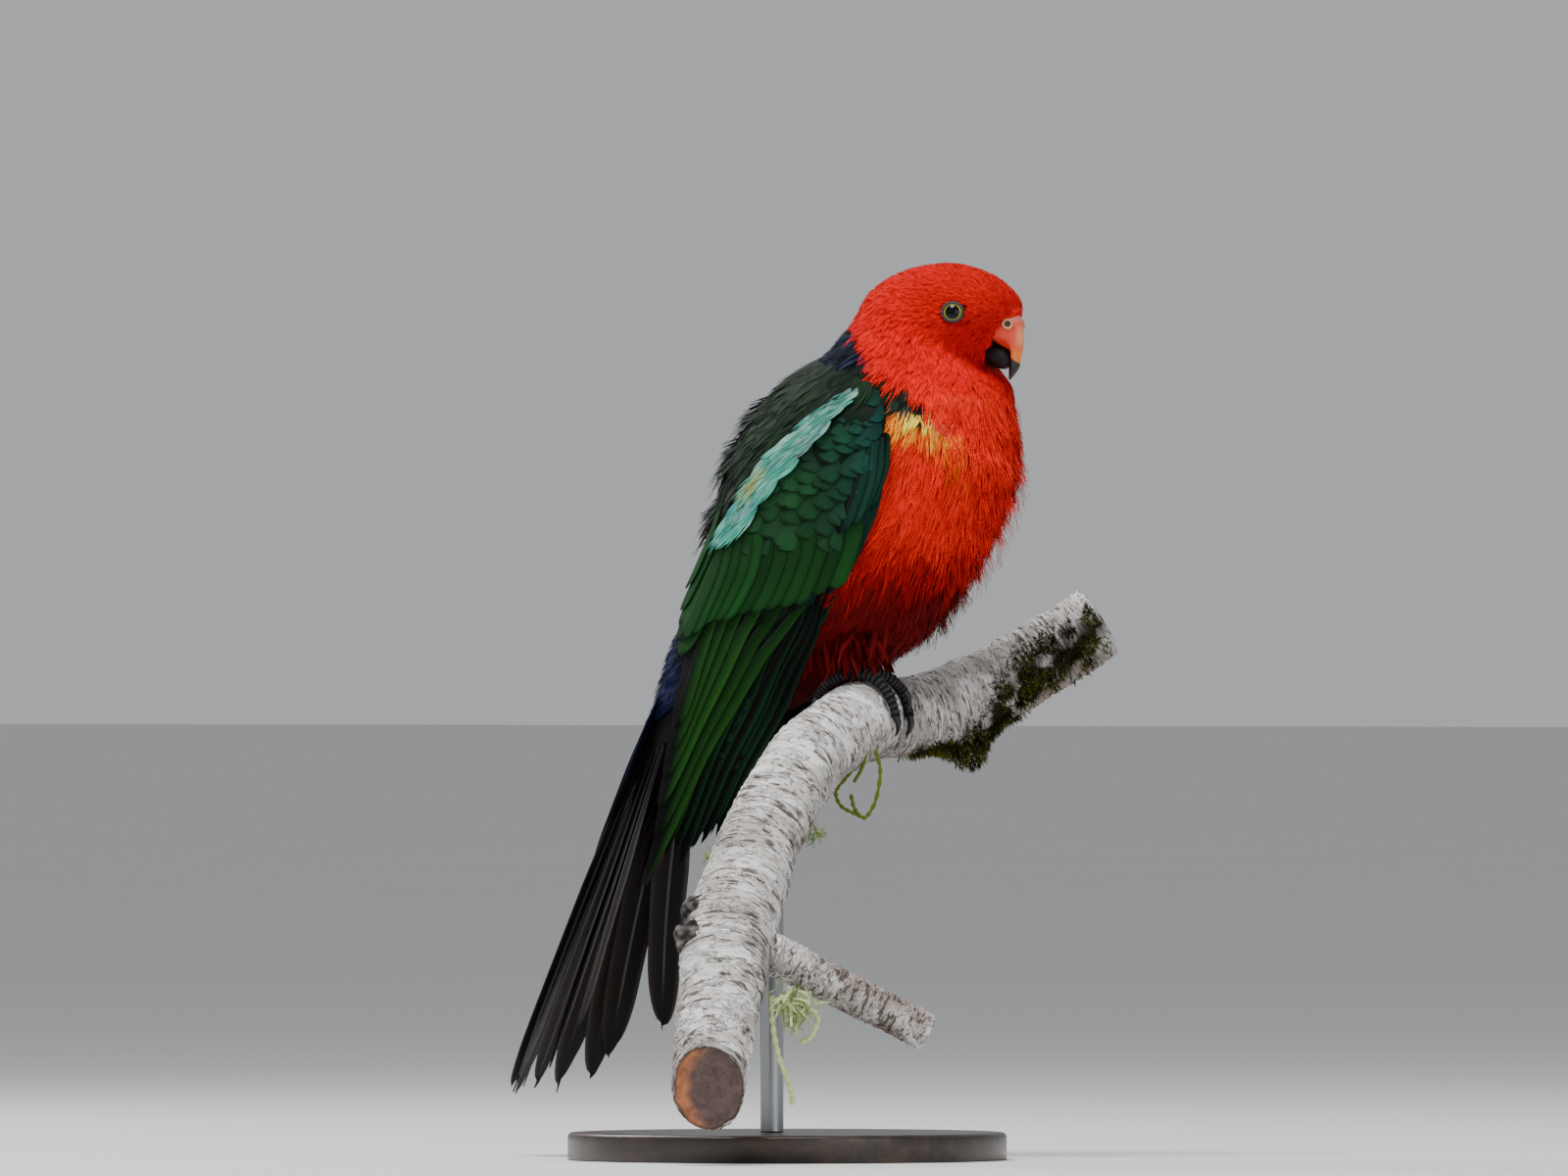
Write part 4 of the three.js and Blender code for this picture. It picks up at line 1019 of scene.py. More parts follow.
# The fleshy root of the tail under its coverts
def tailCore():
    rowsAlong, around = 20, 28
    d = np.linspace(10, 68, rowsAlong)[:, None]
    key = [10, 14, 34, 52, 68]
    depth, wide, under = [np.interp(d, key, v) for v in
                          ([4, 11, 11, 8, 4], [5, 12, 12, 9.5, 6], [11, 11, 11, 9, 8])]
    a = turnOf(around)[None, :]
    core = tailPoint(d + 0 * a, wide * np.sin(a), under + depth * np.cos(a)).reshape(-1, 3)
    return plainPart(core, gridFaces(rowsAlong, around, closed=True), tailLook["black"])


# On each side six flight feathers, five coverts over them and four under them
def makeTail():
    parts = []
    for side, _ in sides:
        k = np.arange(6)
        parts.append(tailVanes(side, 36, tailLook["length"] * np.array(tailLook["shares"]),
                               (1.8 + 1.6 * k, tailLook["fan"]), (2 * k + (side > 0), tailLook["drop"]), 9.3,
                               "rectrix", 0.16))
        k = np.arange(5)
        parts.append(tailVanes(side, 16, 98 - 11 * k, (1.0 + 2.2 * k, 4 + 5 * k), (-2.0 + 0.9 * k, 1.4 * k),
                               6.5, "upper"))
        k = np.arange(4)
        parts.append(tailVanes(side, 30, 98 - 8 * k, (1.6 + 2.6 * k, 5 + 3 * k), (20 - 1.4 * k, 5 + 0 * k),
                               6.5, "under"))
    coatPiece("tail_feathers", joined(parts + [tailCore()]), tailFeather, "black_plumage", "tail")


print("tail")
makeTail()

# Eyes: a wet ball whose iris is a ring about its pole, and a ring of beads round it
wetEye = grainMaterial("wetEye", 2500.0, 0.8, 0.4, 0.04, specular=0.25)
lidSkin = grainMaterial("lidSkin", 1800.0, 0.5, 1.0, 0.55, 0.0002)


def makeEye(side, name):
    point, normal = eyeFrame(side)
    a, b = faceAxes(normal)
    x, y, z, lat = ballGrid(eyes["radius"], 40, 56)
    away = np.degrees(lat)
    points = onAxes(point - normal * eyes["depth"], a, b, normal, x, y, z).reshape(-1, 3)
    iris = smooth(38.5, 40, away) * smooth(51, 48, away)
    streak = 0.8 + 0.25 * np.sin(np.arctan2(y, x) * 36)
    tint = towards(eyes["pupil"], eyes["iris"], iris) * blend(1.0, streak, iris)[..., None]
    tintedPiece(f"eyeball_{name}", points, gridFaces(*x.shape, closed=True), wetEye, tint.reshape(-1, 3),
                "eye", f"eye_{name}")
    turn, section = turnOf(120)[:, None], turnOf(14)[None, :]
    bead = 1 + 0.17 * np.cos(turn * eyes["beads"]) * np.cos(section - 0.9)
    thick = eyes["lidThickness"] * bead
    reach = eyes["lidRadius"] + thick * np.cos(section)
    squash = 1 - 0.08 * np.sin(turn) ** 2
    ring = onAxes(point, a, b, normal, reach * np.cos(turn), reach * np.sin(turn) * squash,
                  0.1 + thick * np.sin(section))
    dots = 0.55 + 0.75 * (0.5 + 0.5 * np.cos(turn * eyes["beads"])) + 0 * section
    tint = np.clip((eyes["lid"] * dots[..., None]).reshape(-1, 3), 0, 1)
    tintedPiece(f"lid_{name}", ring.reshape(-1, 3), ringFaces(*ring.shape[:2]), lidSkin, tint, "scaly_skin")


# Bill: each half is the loft between its outer and inner lines
bill = dict(
    upper=np.array([[62, 166, 60, 149.5, 8], [72, 165, 66.5, 149.6, 8], [75.1, 161.3, 69, 149, 7.2],
                    [75.9, 155, 71.2, 147.6, 6], [75.8, 149.5, 71.6, 146, 4.8],
                    [75.1, 144.5, 70.9, 143.5, 3.7], [74.3, 140, 70.2, 141, 2.6],
                    [70.6, 135.4, 69.9, 136, 0.7]], float),
    lower=np.array([[60.5, 152, 60.5, 141.5, 5.7], [66, 151, 65, 140.4, 6.1], [70.4, 148.4, 68.4, 140.2, 5.1],
                    [72.2, 145, 71.2, 142, 2.6]], float),
    # pale is a painted highlight on the upper bill's front
    cere=rgb(216, 160, 142), red=rgb(222, 50, 26), pale=rgb(246, 164, 116), amber=rgb(248, 132, 24),
    # hole is the painted shade inside each nostril
    tip=rgb(20, 16, 15), horn=rgb(16, 14, 14), ring=rgb(188, 132, 92), hole=rgb(30, 12, 10))
nostril = dict(place=[72.4, 6.95, 159.55], normal=[0.47, 0.85, 0.24], radius=1.9, ring=0.6, hole=1.35,
               sunk=0.15, flat=0.25)


def billMaterial(name, roughness, specular):
    m = Maker(name)
    place = m.place()
    grain = m.noise(m.stretched(place, (1.0, 1.0, 0.25)), 1400.0, 3.0)
    cloud = m.noise(place, 260.0, 2.0)
    colour = m.scaled(m.colour("tint"), (cloud - 0.5) * 0.5 + 1.0 + (grain - 0.5) * 0.3)
    return m.finish(Base_Color=colour, Roughness=(grain - 0.5) * 0.25 + roughness,
                    Specular_IOR_Level=specular, Normal=m.bump(grain * 0.6 + cloud * 0.4, 0.00018))


satinHorn = billMaterial("satinHorn", 0.33, 0.5)
darkHorn = billMaterial("darkHorn", 0.55, 0.25)


def makeBillHalf(rows, name, colourAt, material, slot, node):
    rowsAlong, around = 70, 56
    s = np.linspace(0, len(rows) - 1, rowsAlong)[:, None] + np.zeros((1, around))
    theta = turnOf(around)[None, :] + np.zeros((rowsAlong, 1))
    points, faces = closedTube(loftPoint(rows, s, theta, 0.0))
    tintedPiece(name, points, faces, material, colourAt(points), slot, node)


# From the cere at the top over red to an amber hook, with a painted highlight down the front, and dark at the
# tip and the cutting edge
def upperColour(p):
    x, y, z = p[:, 0], np.abs(p[:, 1]), p[:, 2]
    c = towards(bill["cere"], bill["red"], smooth(163.5, 159.5, z))
    # A pale stripe down the front: painted highlight
    front = smooth(6.5, 2.0, y) * smooth(71, 76, x) * smooth(162, 155, z) * smooth(147, 152, z)
    c = towards(c, bill["pale"], front * 0.8)
    c = towards(c, bill["amber"], 0.9 * smooth(151, 146, z) * smooth(71, 75, x))
    dark = smooth(0.7, -0.7, z - 147.6 + 1.1 * (x - 70.4) + 0.5 * blotch(p, 1.4))
    dark = np.maximum(dark, smooth(72.6, 71.2, x - (z - 149) * 0.12) * smooth(149.4, 148.2, z))
    return np.clip(towards(c, bill["tip"], dark), 0, 1)


def lowerColour(p):
    return plainTint(bill["horn"], p) * (1 + 0.2 * blotch(p, 1.5))[:, None]


# A raised ring round a shallow hole, painted dark for the shade inside the nostril
def makeNostril(side, name):
    mirror = np.array([1, side, 1])
    centre, n = np.array(nostril["place"]) * mirror, unit(np.array(nostril["normal"]) * mirror)
    a, b = faceAxes(n)
    turn, section = turnOf(40)[:, None], turnOf(12)[None, :]
    reach = nostril["radius"] + nostril["ring"] * np.cos(section)
    ring = onAxes(centre, a, b, n, reach * np.cos(turn), reach * np.sin(turn),
                  nostril["ring"] * np.sin(section) + 0 * turn)
    faces, ring = ringFaces(*ring.shape[:2]), ring.reshape(-1, 3)
    tintedPiece(f"nostril_ring_{name}", ring, faces, lidSkin, plainTint(bill["ring"], ring), "orange_bill")
    x, y, z, _ = ballGrid(nostril["hole"], 14, 24)
    hole = onAxes(centre - n * nostril["sunk"], a, b, n, x, y, z * nostril["flat"]).reshape(-1, 3)
    tintedPiece(f"nostril_{name}", hole, gridFaces(*x.shape, closed=True), lidSkin,
                plainTint(bill["hole"], hole), "orange_bill")


print("eyes and bill")
for side, name in sides:
    makeEye(side, name)
makeBillHalf(bill["upper"], "upper_mandible", upperColour, satinHorn, "orange_bill", "bill_upper")
makeBillHalf(bill["lower"], "lower_mandible", lowerColour, darkHorn, "black_bill", "bill_lower")
for side, name in sides:
    makeNostril(side, name)

# Perch: a bent line of points with a radius at each, in mm. Knots are [s, radius], and the line of moss is
# [s, degrees] from the top of the branch.
perch = dict(
    line=np.array([[19.9, -200.3, -168.3], [8.3, -161.6, -127.5], [-0.3, -127, -93.5], [-5.5, -90.8, -61.6],
                   [-3.4, -51.2, -29.8], [6.7, -16.7, -11.5], [-5.5, 17, -12.6], [7, 45.2, -9],
                   [25.1, 66.9, 0], [44.8, 84.8, 14], [65.4, 101.1, 30]], float),
    radii=np.array([16.2, 18.5, 19.5, 18.2, 17.8, 17.8, 17.6, 17.6, 17.8, 17.6, 17.2]),
    twig=np.array([[8.5, -133.9, -107.5], [26.5, -122.2, -117.7], [49.9, -106.9, -131.8],
                   [73.2, -91.6, -145.8]], float),
    twigRadii=np.array([10.5, 9.5, 9, 8.8]), cut=np.array([0.3, -0.93, -0.2]), cutLength=0.6,
    cutShares=[1.0, 0.985, 0.94, 0.8, 0.6, 0.4, 0.2, 0.02],
    cutDips=[0, 0.25, -0.1, -0.3, -0.35, -0.3, -0.25, -0.2],
    knots=[[1.8, 7.5], [1.45, 8.5]], knotAngle=-1.0, knotSunk=2.6, swelling=2.6,
    pale=rgb(246, 243, 240), grey=rgb(178, 172, 170), brown=rgb(128, 106, 92), dark=rgb(78, 66, 58),
    # underside is the painted shade under the branch and the brown of its stains
    green=rgb(146, 160, 116), underside=rgb(150, 138, 130), knot=rgb(56, 44, 36), wood=rgb(96, 76, 72),
    woodRim=rgb(178, 112, 72), step=42, ringStep=0.036, twigRingStep=0.024)
moss = dict(
    line=np.array([[9.9, 70], [9.5, 110], [9.1, 84], [8.7, 100], [8.3, 110], [8.0, 145], [7.7, 172],
                   [7.3, 172], [6.8, 176]], float),
    count=9000, low=6.4, high=9.93, light=rgb(136, 140, 34), dark=rgb(24, 24, 8))
# Tufts are (u, z, depth, spread, length, number) in mm of the side view. Strands are paths in the photo's
# pixels, and a strand's depth and half width are in mm.
lichen = dict(
    tufts=[(-20.0, -60.5, 68.0, 2.2, 3.2, 130), (-66.5, -70.0, 96.0, 1.6, 2.6, 70),
           (-30.0, -133.0, 148.0, 3.6, 9.0, 150), (-68.0, -95.0, 118.0, 2.0, 2.4, 60)],
    strands=[[(893, 793), (898, 815), (893, 845), (882, 862), (872, 853), (868, 838)],
             [(876, 797), (866, 818), (853, 835), (858, 850), (872, 858), (884, 863)],
             [(884, 795), (879, 812), (871, 826)],
             [(787, 1040), (789, 1072), (795, 1102), (806, 1132), (809, 1150)],
             [(790, 1044), (806, 1056), (822, 1052), (834, 1062), (828, 1080), (816, 1088)]],
    near=3, nearDepth=37.0, farDepth=146.0, nearHalf=1.0, farHalf=1.5, pixelCentre=(880, 735),
    mmPerPixel=0.425, strand=rgb(96, 108, 34), green=rgb(150, 170, 96), pale=rgb(196, 212, 150))


# Frame along the perch: its point, its direction, level to the bird's back, up, and radius
def perchFrame(s):
    point = spline(perch["line"], s)
    ahead = unit(spline(perch["line"], s + nudge) - spline(perch["line"], s - nudge))
    level = unit(np.cross(np.array([0, 0, 1.0]), ahead))
    return point, ahead, level, unit(np.cross(ahead, level)), spline(perch["radii"][:, None], s)[..., 0]


# Angle 0 is the top of the branch and a quarter turn its front
def perchPoint(s, angle, height=0.0):
    point, _, level, up, radius = perchFrame(s)
    reach = (radius + height)[..., None]
    return point + up * reach * np.cos(angle)[..., None] - level * reach * np.sin(angle)[..., None]


# Height of the bark: uneven rings across the branch, low swellings and small scabs, in mm from the solid
def barkHeight(s, angle):
    wave = s * perch["step"] + 1.3 * np.sin(angle * 2 + s * 3) + 0.8 * np.sin(angle * 5 + s * 7)
    ring = 1.3 * np.sin(wave * 1.55 + 1.6 * np.sin(wave * 0.31))
    ring = ring * (0.6 + 0.4 * np.sin(angle * 3 + wave * 0.2))
    swell = 0.7 * np.sin(s * 5.1 + angle) + 0.5 * np.sin(s * 9.7 - angle * 2)
    fine = 0.25 * np.sin(wave * 4.3 + np.sin(angle * 9) * 2) * np.sin(angle * 13 + s * 11)
    return -1.0 + 0.5 * ring + 0.35 * swell + fine


# The ring layer holds the cosine and sine of the angle and the metres along, so that no seam shows. The tint
# layer's fourth value is its own share.
def barkMaterial():
    m = Maker("ringedBark")
    place, ring = m.place(), m.colour("ring")
    grain = m.noise(place, 420.0, 4.0, 0.7)
    speck = m.noise(place, 900.0, 3.0, 0.7)
    patches = m.noise(place, 60.0, 4.0, 0.65)
    lines = m.noise(m.stretched(ring, (1.9, 1.9, 520.0)), 1.0, 5.0, 0.72)
    dashes = m.noise(m.stretched(ring, (1.8, 1.8, 820.0)), 1.0, 3.0, 0.6)
    folds = m.noise(m.stretched(ring, (1.2, 1.2, 230.0)), 1.0, 4.0, 0.55)
    cracks = 1.0 - (folds - 0.5).abs().step(0.008, 0.035)
    stains = m.noise(place, 24.0, 5.0, 0.6)
    algae = m.noise(place, 90.0, 3.0)
    colour = perch["pale"]
    for other, share in (
            (perch["grey"], patches.step(0.45, 0.65) * 0.6),
            (perch["brown"], stains.step(0.52, 0.68) * 0.6),
            (perch["grey"], lines.step(0.5, 0.62) * 0.55),
            (perch["green"], algae.step(0.6, 0.72) * 0.3),
            (m.colour("tint"), m.colour("tint", 3)),
            (perch["brown"], folds.step(0.5, 0.6) * 0.3),
            (perch["dark"], cracks * grain.step(0.35, 0.6) * 0.55),
            (perch["dark"], (dashes + stains * 0.25).step(0.69, 0.74) * 0.85),
            (perch["dark"], (lines * 0.6 + grain * 0.5).step(0.65, 0.72) * 0.8),
            (perch["dark"], (speck + patches * 0.2).step(0.74, 0.8) * 0.7)):
        colour = m.mixed(colour, other, share)
    relief = grain * 0.5 + lines * 0.9 + patches * 0.4 - dashes * 0.5 - cracks * 0.6
    return m.finish(Base_Color=colour, Roughness=grain * 0.2 + 0.75, Specular_IOR_Level=0.15,
                    Normal=m.bump(relief, 0.0018))


# Sawn ends: rings about the middle, a warm rim on the upper side and a dark line at the bark
def woodMaterial():
    m = Maker("sawnWood")
    x, y = m.uv("web")
    reach = (x * x + y * y) ** 0.5
    cloud = m.noise(m.place(), 220.0, 4.0, 0.6)
    rings = (reach * 24.0 + cloud * 9.0).sin()
    fibre = m.noise(m.place(), 900.0, 4.0, 0.7)
    warm = (reach - y * 0.8 + cloud * 0.6).step(1.05, 1.7)
    colour = m.mixed(perch["wood"], perch["woodRim"], warm * 0.9)
    colour = m.mixed(colour, perch["knot"], reach.step(0.9, 1.0) * 0.7)
    colour = m.scaled(colour, rings * 0.05 + 0.95 + (fibre - 0.5) * 0.9 + (cloud - 0.5) * 1.7)
    return m.finish(Base_Color=colour, Roughness=0.85, Normal=m.bump(fibre + rings * 0.1 + cloud, 0.0009))


ringedBark, sawnWood = barkMaterial(), woodMaterial()
mossLook = grainMaterial("mossAndLichen", 800.0, 0.6, 0.8, 0.9, 0.0003, 0.1, 2.0)


def ringPlace(angle, metres):
    angle, metres = np.broadcast_arrays(angle, metres)
    return np.stack([np.cos(angle), np.sin(angle), metres, 1 + 0 * metres], -1).reshape(-1, 4)


# Degrees round the branch and s of the line of moss, at t points along it
def mossLine(t):
    return [np.interp(t, np.arange(len(moss["line"])), moss["line"][:, k]) for k in (0, 1)]


# Nearness to the line of moss along the perch, 1 on it
def mossShare(s, angle, reach):
    at, degrees = mossLine(np.linspace(0, len(moss["line"]) - 1, 60))
    away = np.hypot((s[..., None] - at) * 26, (np.degrees(angle)[..., None] - degrees) * 0.31).min(-1)
    return np.exp(-(away / reach) ** 2)


# Colour of the bark with its own share as a fourth value: browner below, where the brown is painted shade,
# and in blotches, which are stains; dark at the knots and under the moss
def barkTint(rings, s, angle, aroundTop):
    # Brown share: painted shade on the lower side of the branch, plus stains in blotches
    brown = 0.55 * smooth(0.1, -0.95, np.cos(angle)) + 0.5 * smooth(0.35, 0.9, blotch(rings, 15, 4))
    mossy = mossShare(s, aroundTop, 8.0) * smooth(-0.5, 0.3, blotch(rings, 4, 6))
    knotty = np.exp(-(((s - 1.6) * 2.6) ** 2 + ((aroundTop - perch["knotAngle"]) * 1.2) ** 2))
    knotty = knotty * smooth(-0.6, 0.3, blotch(rings, 5, 8))
    dark = np.maximum(mossy, knotty)
    share = np.clip(np.maximum(brown, dark), 0, 0.92)[..., None]
    deep = towards(moss["dark"], perch["knot"], knotty)
    tint = towards(perch["underside"], deep, np.clip(dark * 1.5, 0, 1))
    return np.concatenate([tint, share], -1).reshape(-1, 4)


# The branch as rings from the slanting saw cut to the far end
def makePerch():
    rowsAlong, around = 560, 120
    s = np.linspace(0, len(perch["line"]) - 1, rowsAlong)[:, None] + np.zeros((1, around))
    angle = turnOf(around)[None, :] + np.zeros((rowsAlong, 1))
    aroundTop = np.mod(angle + np.pi, 2 * np.pi) - np.pi
    swollen = perch["swelling"] * np.exp(-((s - 1.55) * 1.9) ** 2 - (aroundTop + 1.2) ** 2)
    rings = perchPoint(s, angle, barkHeight(s, angle) + swollen)
    point, ahead, _, _, _ = perchFrame(s[:, 0])
    slant = ((point[0] - rings) @ perch["cut"]) / (ahead[0] @ perch["cut"])
    share = smooth(perch["cutLength"], 0.0, s)
    rings = rings + (slant * share * (s < perch["cutLength"]))[..., None] * ahead[0]
    layers = dict(tint=barkTint(rings, s, angle, aroundTop), ring=ringPlace(angle, s * perch["ringStep"]))
    faces = gridFaces(rowsAlong, around, closed=True)[:, ::-1]
    settle(meshPiece("branch_bark", rings, faces, ringedBark, colours=layers), "bark", "perch")
    makeCut("near_cut", rings[0], -ahead[0], angle[:1])
    makeCut("far_cut", rings[-1], ahead[-1], angle[:1], turned=False)


# A sawn end: shrinking copies of the last ring, which dip in along the branch
def makeCut(name, ring, outward, angle, turned=True):
    middle = ring.mean(0)
    shares, dips = [perVane(perch[key]) for key in ("cutShares", "cutDips")]
    disc = middle + (ring - middle)[None] * shares + outward * dips
    uv = np.stack([np.cos(angle) * shares[..., 0], np.sin(angle) * shares[..., 0]], -1).reshape(-1, 2)
    faces = gridFaces(len(shares), len(ring), closed=True)
    cut = meshPiece(name, disc, faces[:, ::-1] if turned else faces, sawnWood, uvs=dict(web=uv))
    settle(cut, "bark")


def makeTwig():
    rowsAlong, around = 190, 56
    s = np.linspace(0, len(perch["twig"]) - 1, rowsAlong)
    angle = turnOf(around)[None, :]
    radius = spline(perch["twigRadii"][:, None], s) + barkHeight(s[:, None] * 0.8 + 7, angle) * 0.6 - 0.1
    points, faces = closedTube(tubeRings(spline(perch["twig"], s), radius[..., None], around))
    place = ringPlace(angle, s[:, None] * perch["twigRingStep"])
    place = np.concatenate([place, place[:1], place[-1:]])
    tint = plainTint(np.append(perch["brown"], 0.6), points)
    tint[:, 3] *= smooth(-0.5, 0.3, blotch(points, 6, 2))
    tintedPiece("twig_bark", points, faces, ringedBark, tint, "bark", ring=place)


# Knots where side branches broke off: rough, blotched balls, sunk into the branch
def makeKnot(index, at, radius):
    x, y, z, _ = ballGrid(1.0, 50, 60)
    place = np.stack([x, y, z], -1).reshape(-1, 3)
    centre = perchPoint(np.array([at]), np.array([perch["knotAngle"]]), -perch["knotSunk"])[0]
    rough = radius * (0.97 + 0.12 * blotch(place * 3, 0.6, index) + 0.05 * blotch(place * 3, 0.22, index))
    share = np.clip(0.7 + 0.6 * blotch(place * 3, 0.34, index + 3), 0.1, 0.97)[:, None]
    tint = np.append(perch["knot"] * (0.8 + 0.5 * blotch(place * 3, 0.25, index)[:, None]), share, 1)
    ring = np.append(place * 0.5, np.ones((len(place), 1)), 1)
    tintedPiece(f"knot_{index}", centre + place * rough[:, None], gridFaces(50, 60, closed=True), ringedBark,
                np.clip(tint, 0, 1), "bark", ring=ring)


# Blades: ribbons of three rows from a root along a direction, bent down by droop x t squared, pointed at the
# end t = 1
def blades(roots, ways, length, width, tint, tipTint, droop, place):
    n = len(roots)
    t = perVane([0, 0.5, 1.0])
    length, width, droop = [perFeather(np.broadcast_to(v, (n,))) for v in (length, width, droop)]
    across = unit(np.cross(ways, rng.normal(0, 1, (n, 3))))[:, None, None, :]
    edge = np.array([-1.0, 1.0])[:, None]
    half = width / 2 * (1.06 - t) ** 0.6 * (0.4 + 0.6 * np.minimum(1, 2 * t))
    points = (roots[:, None, None, :] + ways[:, None, None, :] * length * t + edge * across * half
              - np.array([0, 0, 1.0]) * droop * t ** 2)
    faces = ((np.arange(n) * 6)[:, None, None] + np.array([[0, 1, 3, 2], [2, 3, 5, 4]])).reshape(-1, 4)
    shade = blend(tint[:, None, None, :], tipTint[:, None, None, :], t)
    web = np.broadcast_to(np.concatenate([edge * 0.5 + 0.5, edge * 0], -1) + t * [0.0, 1.0], (n, 3, 2, 2))
    return dict(points=points.reshape(-1, 3), faces=faces, web=web.reshape(-1, 2),
                tint=np.broadcast_to(shade, points.shape).reshape(-1, 3),
                bake=(place[:, None, None, :] + web * patchSize).reshape(-1, 2))


# Moss: short blades round the line of moss, which hang in a beard under the branch
def mossBlades():
    count = moss["count"]
    t = rng.uniform(0, len(moss["line"]) - 1, count)
    at, degrees = mossLine(t)
    s = np.clip(at + rng.normal(0, 0.16, count), moss["low"], moss["high"])
    angle = np.radians(degrees + rng.normal(0, 21, count))
    _, _, level, up, _ = perchFrame(s)
    out = up * np.cos(angle)[:, None] - level * np.sin(angle)[:, None]
    beard = np.exp(-((s - 7.55) / 0.28) ** 2) * smooth(2.2, 2.9, angle)
    roots = perchPoint(s, angle, -0.8 + beard * rng.uniform(0, 13, count))
    kept = (blotch(roots, 2.6, 5) > -0.25) | (beard > 0.4)
    ways = unit(out + rng.normal(0, 0.75, (count, 3)) - np.array([0, 0, 0.5]) * beard[:, None])
    own = rng.random((count, 1))
    lightShare = own ** 1.5 * smooth(-0.7, 0.6, blotch(roots, 1.7, 9))[:, None]
    tip = blend(moss["dark"] * 1.6, moss["light"], lightShare)
    place = np.stack([np.mod(angle / (2 * np.pi), 1), s / 10], 1) * 0.94 + 0.03
    return blades(roots[kept], ways[kept], rng.uniform(1.6, 3.6, kept.sum()), 0.7,
                  plainTint(moss["dark"], roots[kept]), tip[kept], 0.5, place[kept])


def lichenTuft(index, u, z, depth, spread, size, number):
    own = rng.normal(0, spread, (number, 3))
    roots = fromSide(u, z, depth) + own
    place = np.clip(own[:, :2] * 0.01 + [0.12 + 0.22 * index, 0.25], 0.02, 0.98)
    ways = unit(rng.normal(0, 1, (number, 3)) - [0, 0, 0.3])
    colour = lichen["pale"] if size > 5 else lichen["green"]
    shade = plainTint(colour, roots) * rng.uniform(0.7, 1.1, (number, 1))
    length = rng.uniform(0.5, 1.0, number) * size
    return blades(roots, ways, length, size * 0.22, shade * 0.7, shade, size * 0.3, place)


# Lichen strands hang free; the near ones come off the branch beside the feet
def lichenStrand(index, path):
    near, x, z = index < lichen["near"], *np.array(path, float).T
    column, row = lichen["pixelCentre"]
    depth = lichen["nearDepth"] if near else lichen["farDepth"]
    line = fromSide((x - column) * lichen["mmPerPixel"], (row - z) * lichen["mmPerPixel"], depth)
    line = spline(line, np.linspace(0, len(line) - 1, 40))
    half = lichen["nearHalf"] if near else lichen["farHalf"]
    wide = perVane(0.75 + 0.25 * np.sin(np.arange(40) * 1.9)) * half
    points, faces = closedTube(tubeRings(line, wide, 8, up=(0.3, 1.0, 0.2)))
    tint = plainTint(lichen["strand"] if near else lichen["pale"], points)
    tintedPiece(f"lichen_strand_{index}", points, faces, mossLook, tint, "bark")


print("perch")
makePerch()
makeTwig()
for index, (at, radius) in enumerate(perch["knots"]):
    makeKnot(index, at, radius)
tufts = [mossBlades()] + [lichenTuft(index, *tuft) for index, tuft in enumerate(lichen["tufts"])]
coatPiece("moss", joined(tufts), mossLook, "bark")
for index, path in enumerate(lichen["strands"]):
    lichenStrand(index, path)

# Feet: toes and claws as tapering tubes round the perch. A toe is [spread along s, start, end, radius], with
# its ends in degrees from the top of the perch.
foot = dict(
    stations={-1: 5, 1: 6},
    toes=[[-0.1, 2, 84, 3.1], [0.24, 2, 56, 3.0], [-0.16, -2, -54, 3.0], [0.14, -2, -44, 2.7]],
    slim=0.93, taper=0.72, scutes=75, clawKey=[0, 0.33, 0.67, 1], clawHeight=[1.8, 2.7, 2.3, 0.9],
    clawThick=[1.9, 1.5, 0.95, 0.15], clawTurn=27, shank=3.6, lift=0.5, thighFeathers=520,
    skin=rgb(8, 7, 9), scale=rgb(58, 55, 58), claw=rgb(14, 13, 14))


def footMaterial():
    m = Maker("footScales")
    place = m.place()
    cell = m.node("ShaderNodeTexVoronoi", dict(feature="DISTANCE_TO_EDGE"), {"Vector": place, "Scale": 900.0})
    grain = m.noise(place, 1500.0)
    ridge = cell.step(0.0, 0.12)
    return m.finish(Base_Color=m.scaled(m.colour("tint"), ridge * 0.7 + 0.4 + grain * 0.3), Roughness=0.7,
                    Specular_IOR_Level=0.18, Normal=m.bump(ridge * 0.6 + grain * 0.3, 0.0003))


footScales = footMaterial()
clawHorn = grainMaterial("clawHorn", 700.0, 0.5, 1.0, 0.28, 0.0001)


# A closed tube ready to join; its tint is one colour, or a grid of colours that its two ends repeat
def tubePart(rings, tint):
    points, faces = closedTube(rings)
    if tint.ndim == 1:
        tint = plainTint(tint, points)
    else:
        tint = np.concatenate([tint.reshape(-1, 3), tint[0, :1], tint[-1, :1]])
    return dict(points=points, faces=faceOut(points, faces), tint=tint)


# A toe: a tube round the perch with knuckles, scutes over its top and a paler edge on each scute. The
# paler edges and the near-black skin between them are partly their own colours, partly painted highlight and
# shade
def toe(side, spread, start, end, radius):
    t = np.linspace(0, 1, 110)
    taper = blend(1, foot["taper"], t)
    own = radius * taper * (1 + 0.09 * np.cos(t * 3 * 2 * np.pi)) * foot["slim"]
    line = perchPoint(foot["stations"][side] - side * spread * t, np.radians(blend(start, end, t)),
                      radius * foot["slim"] * taper + foot["lift"])
    a = turnOf(24)[None, :]
    wave = np.cos(t[:, None] * foot["scutes"])
    scute = 1 + 0.11 * wave * smooth(-0.2, 0.6, np.cos(a)) - 0.02 * np.cos(a * 2)
    # Paler scute crests, near-black between: partly own colours, partly painted highlight and shade
    tint = towards(foot["skin"], foot["scale"], np.clip(0.25 + 0.7 * wave, 0, 1) + 0 * a)
    return tubePart(tubeRings(line, (own[:, None] * scute)[..., None], 24, up=(0.3, 0.2, 1.0)), tint)


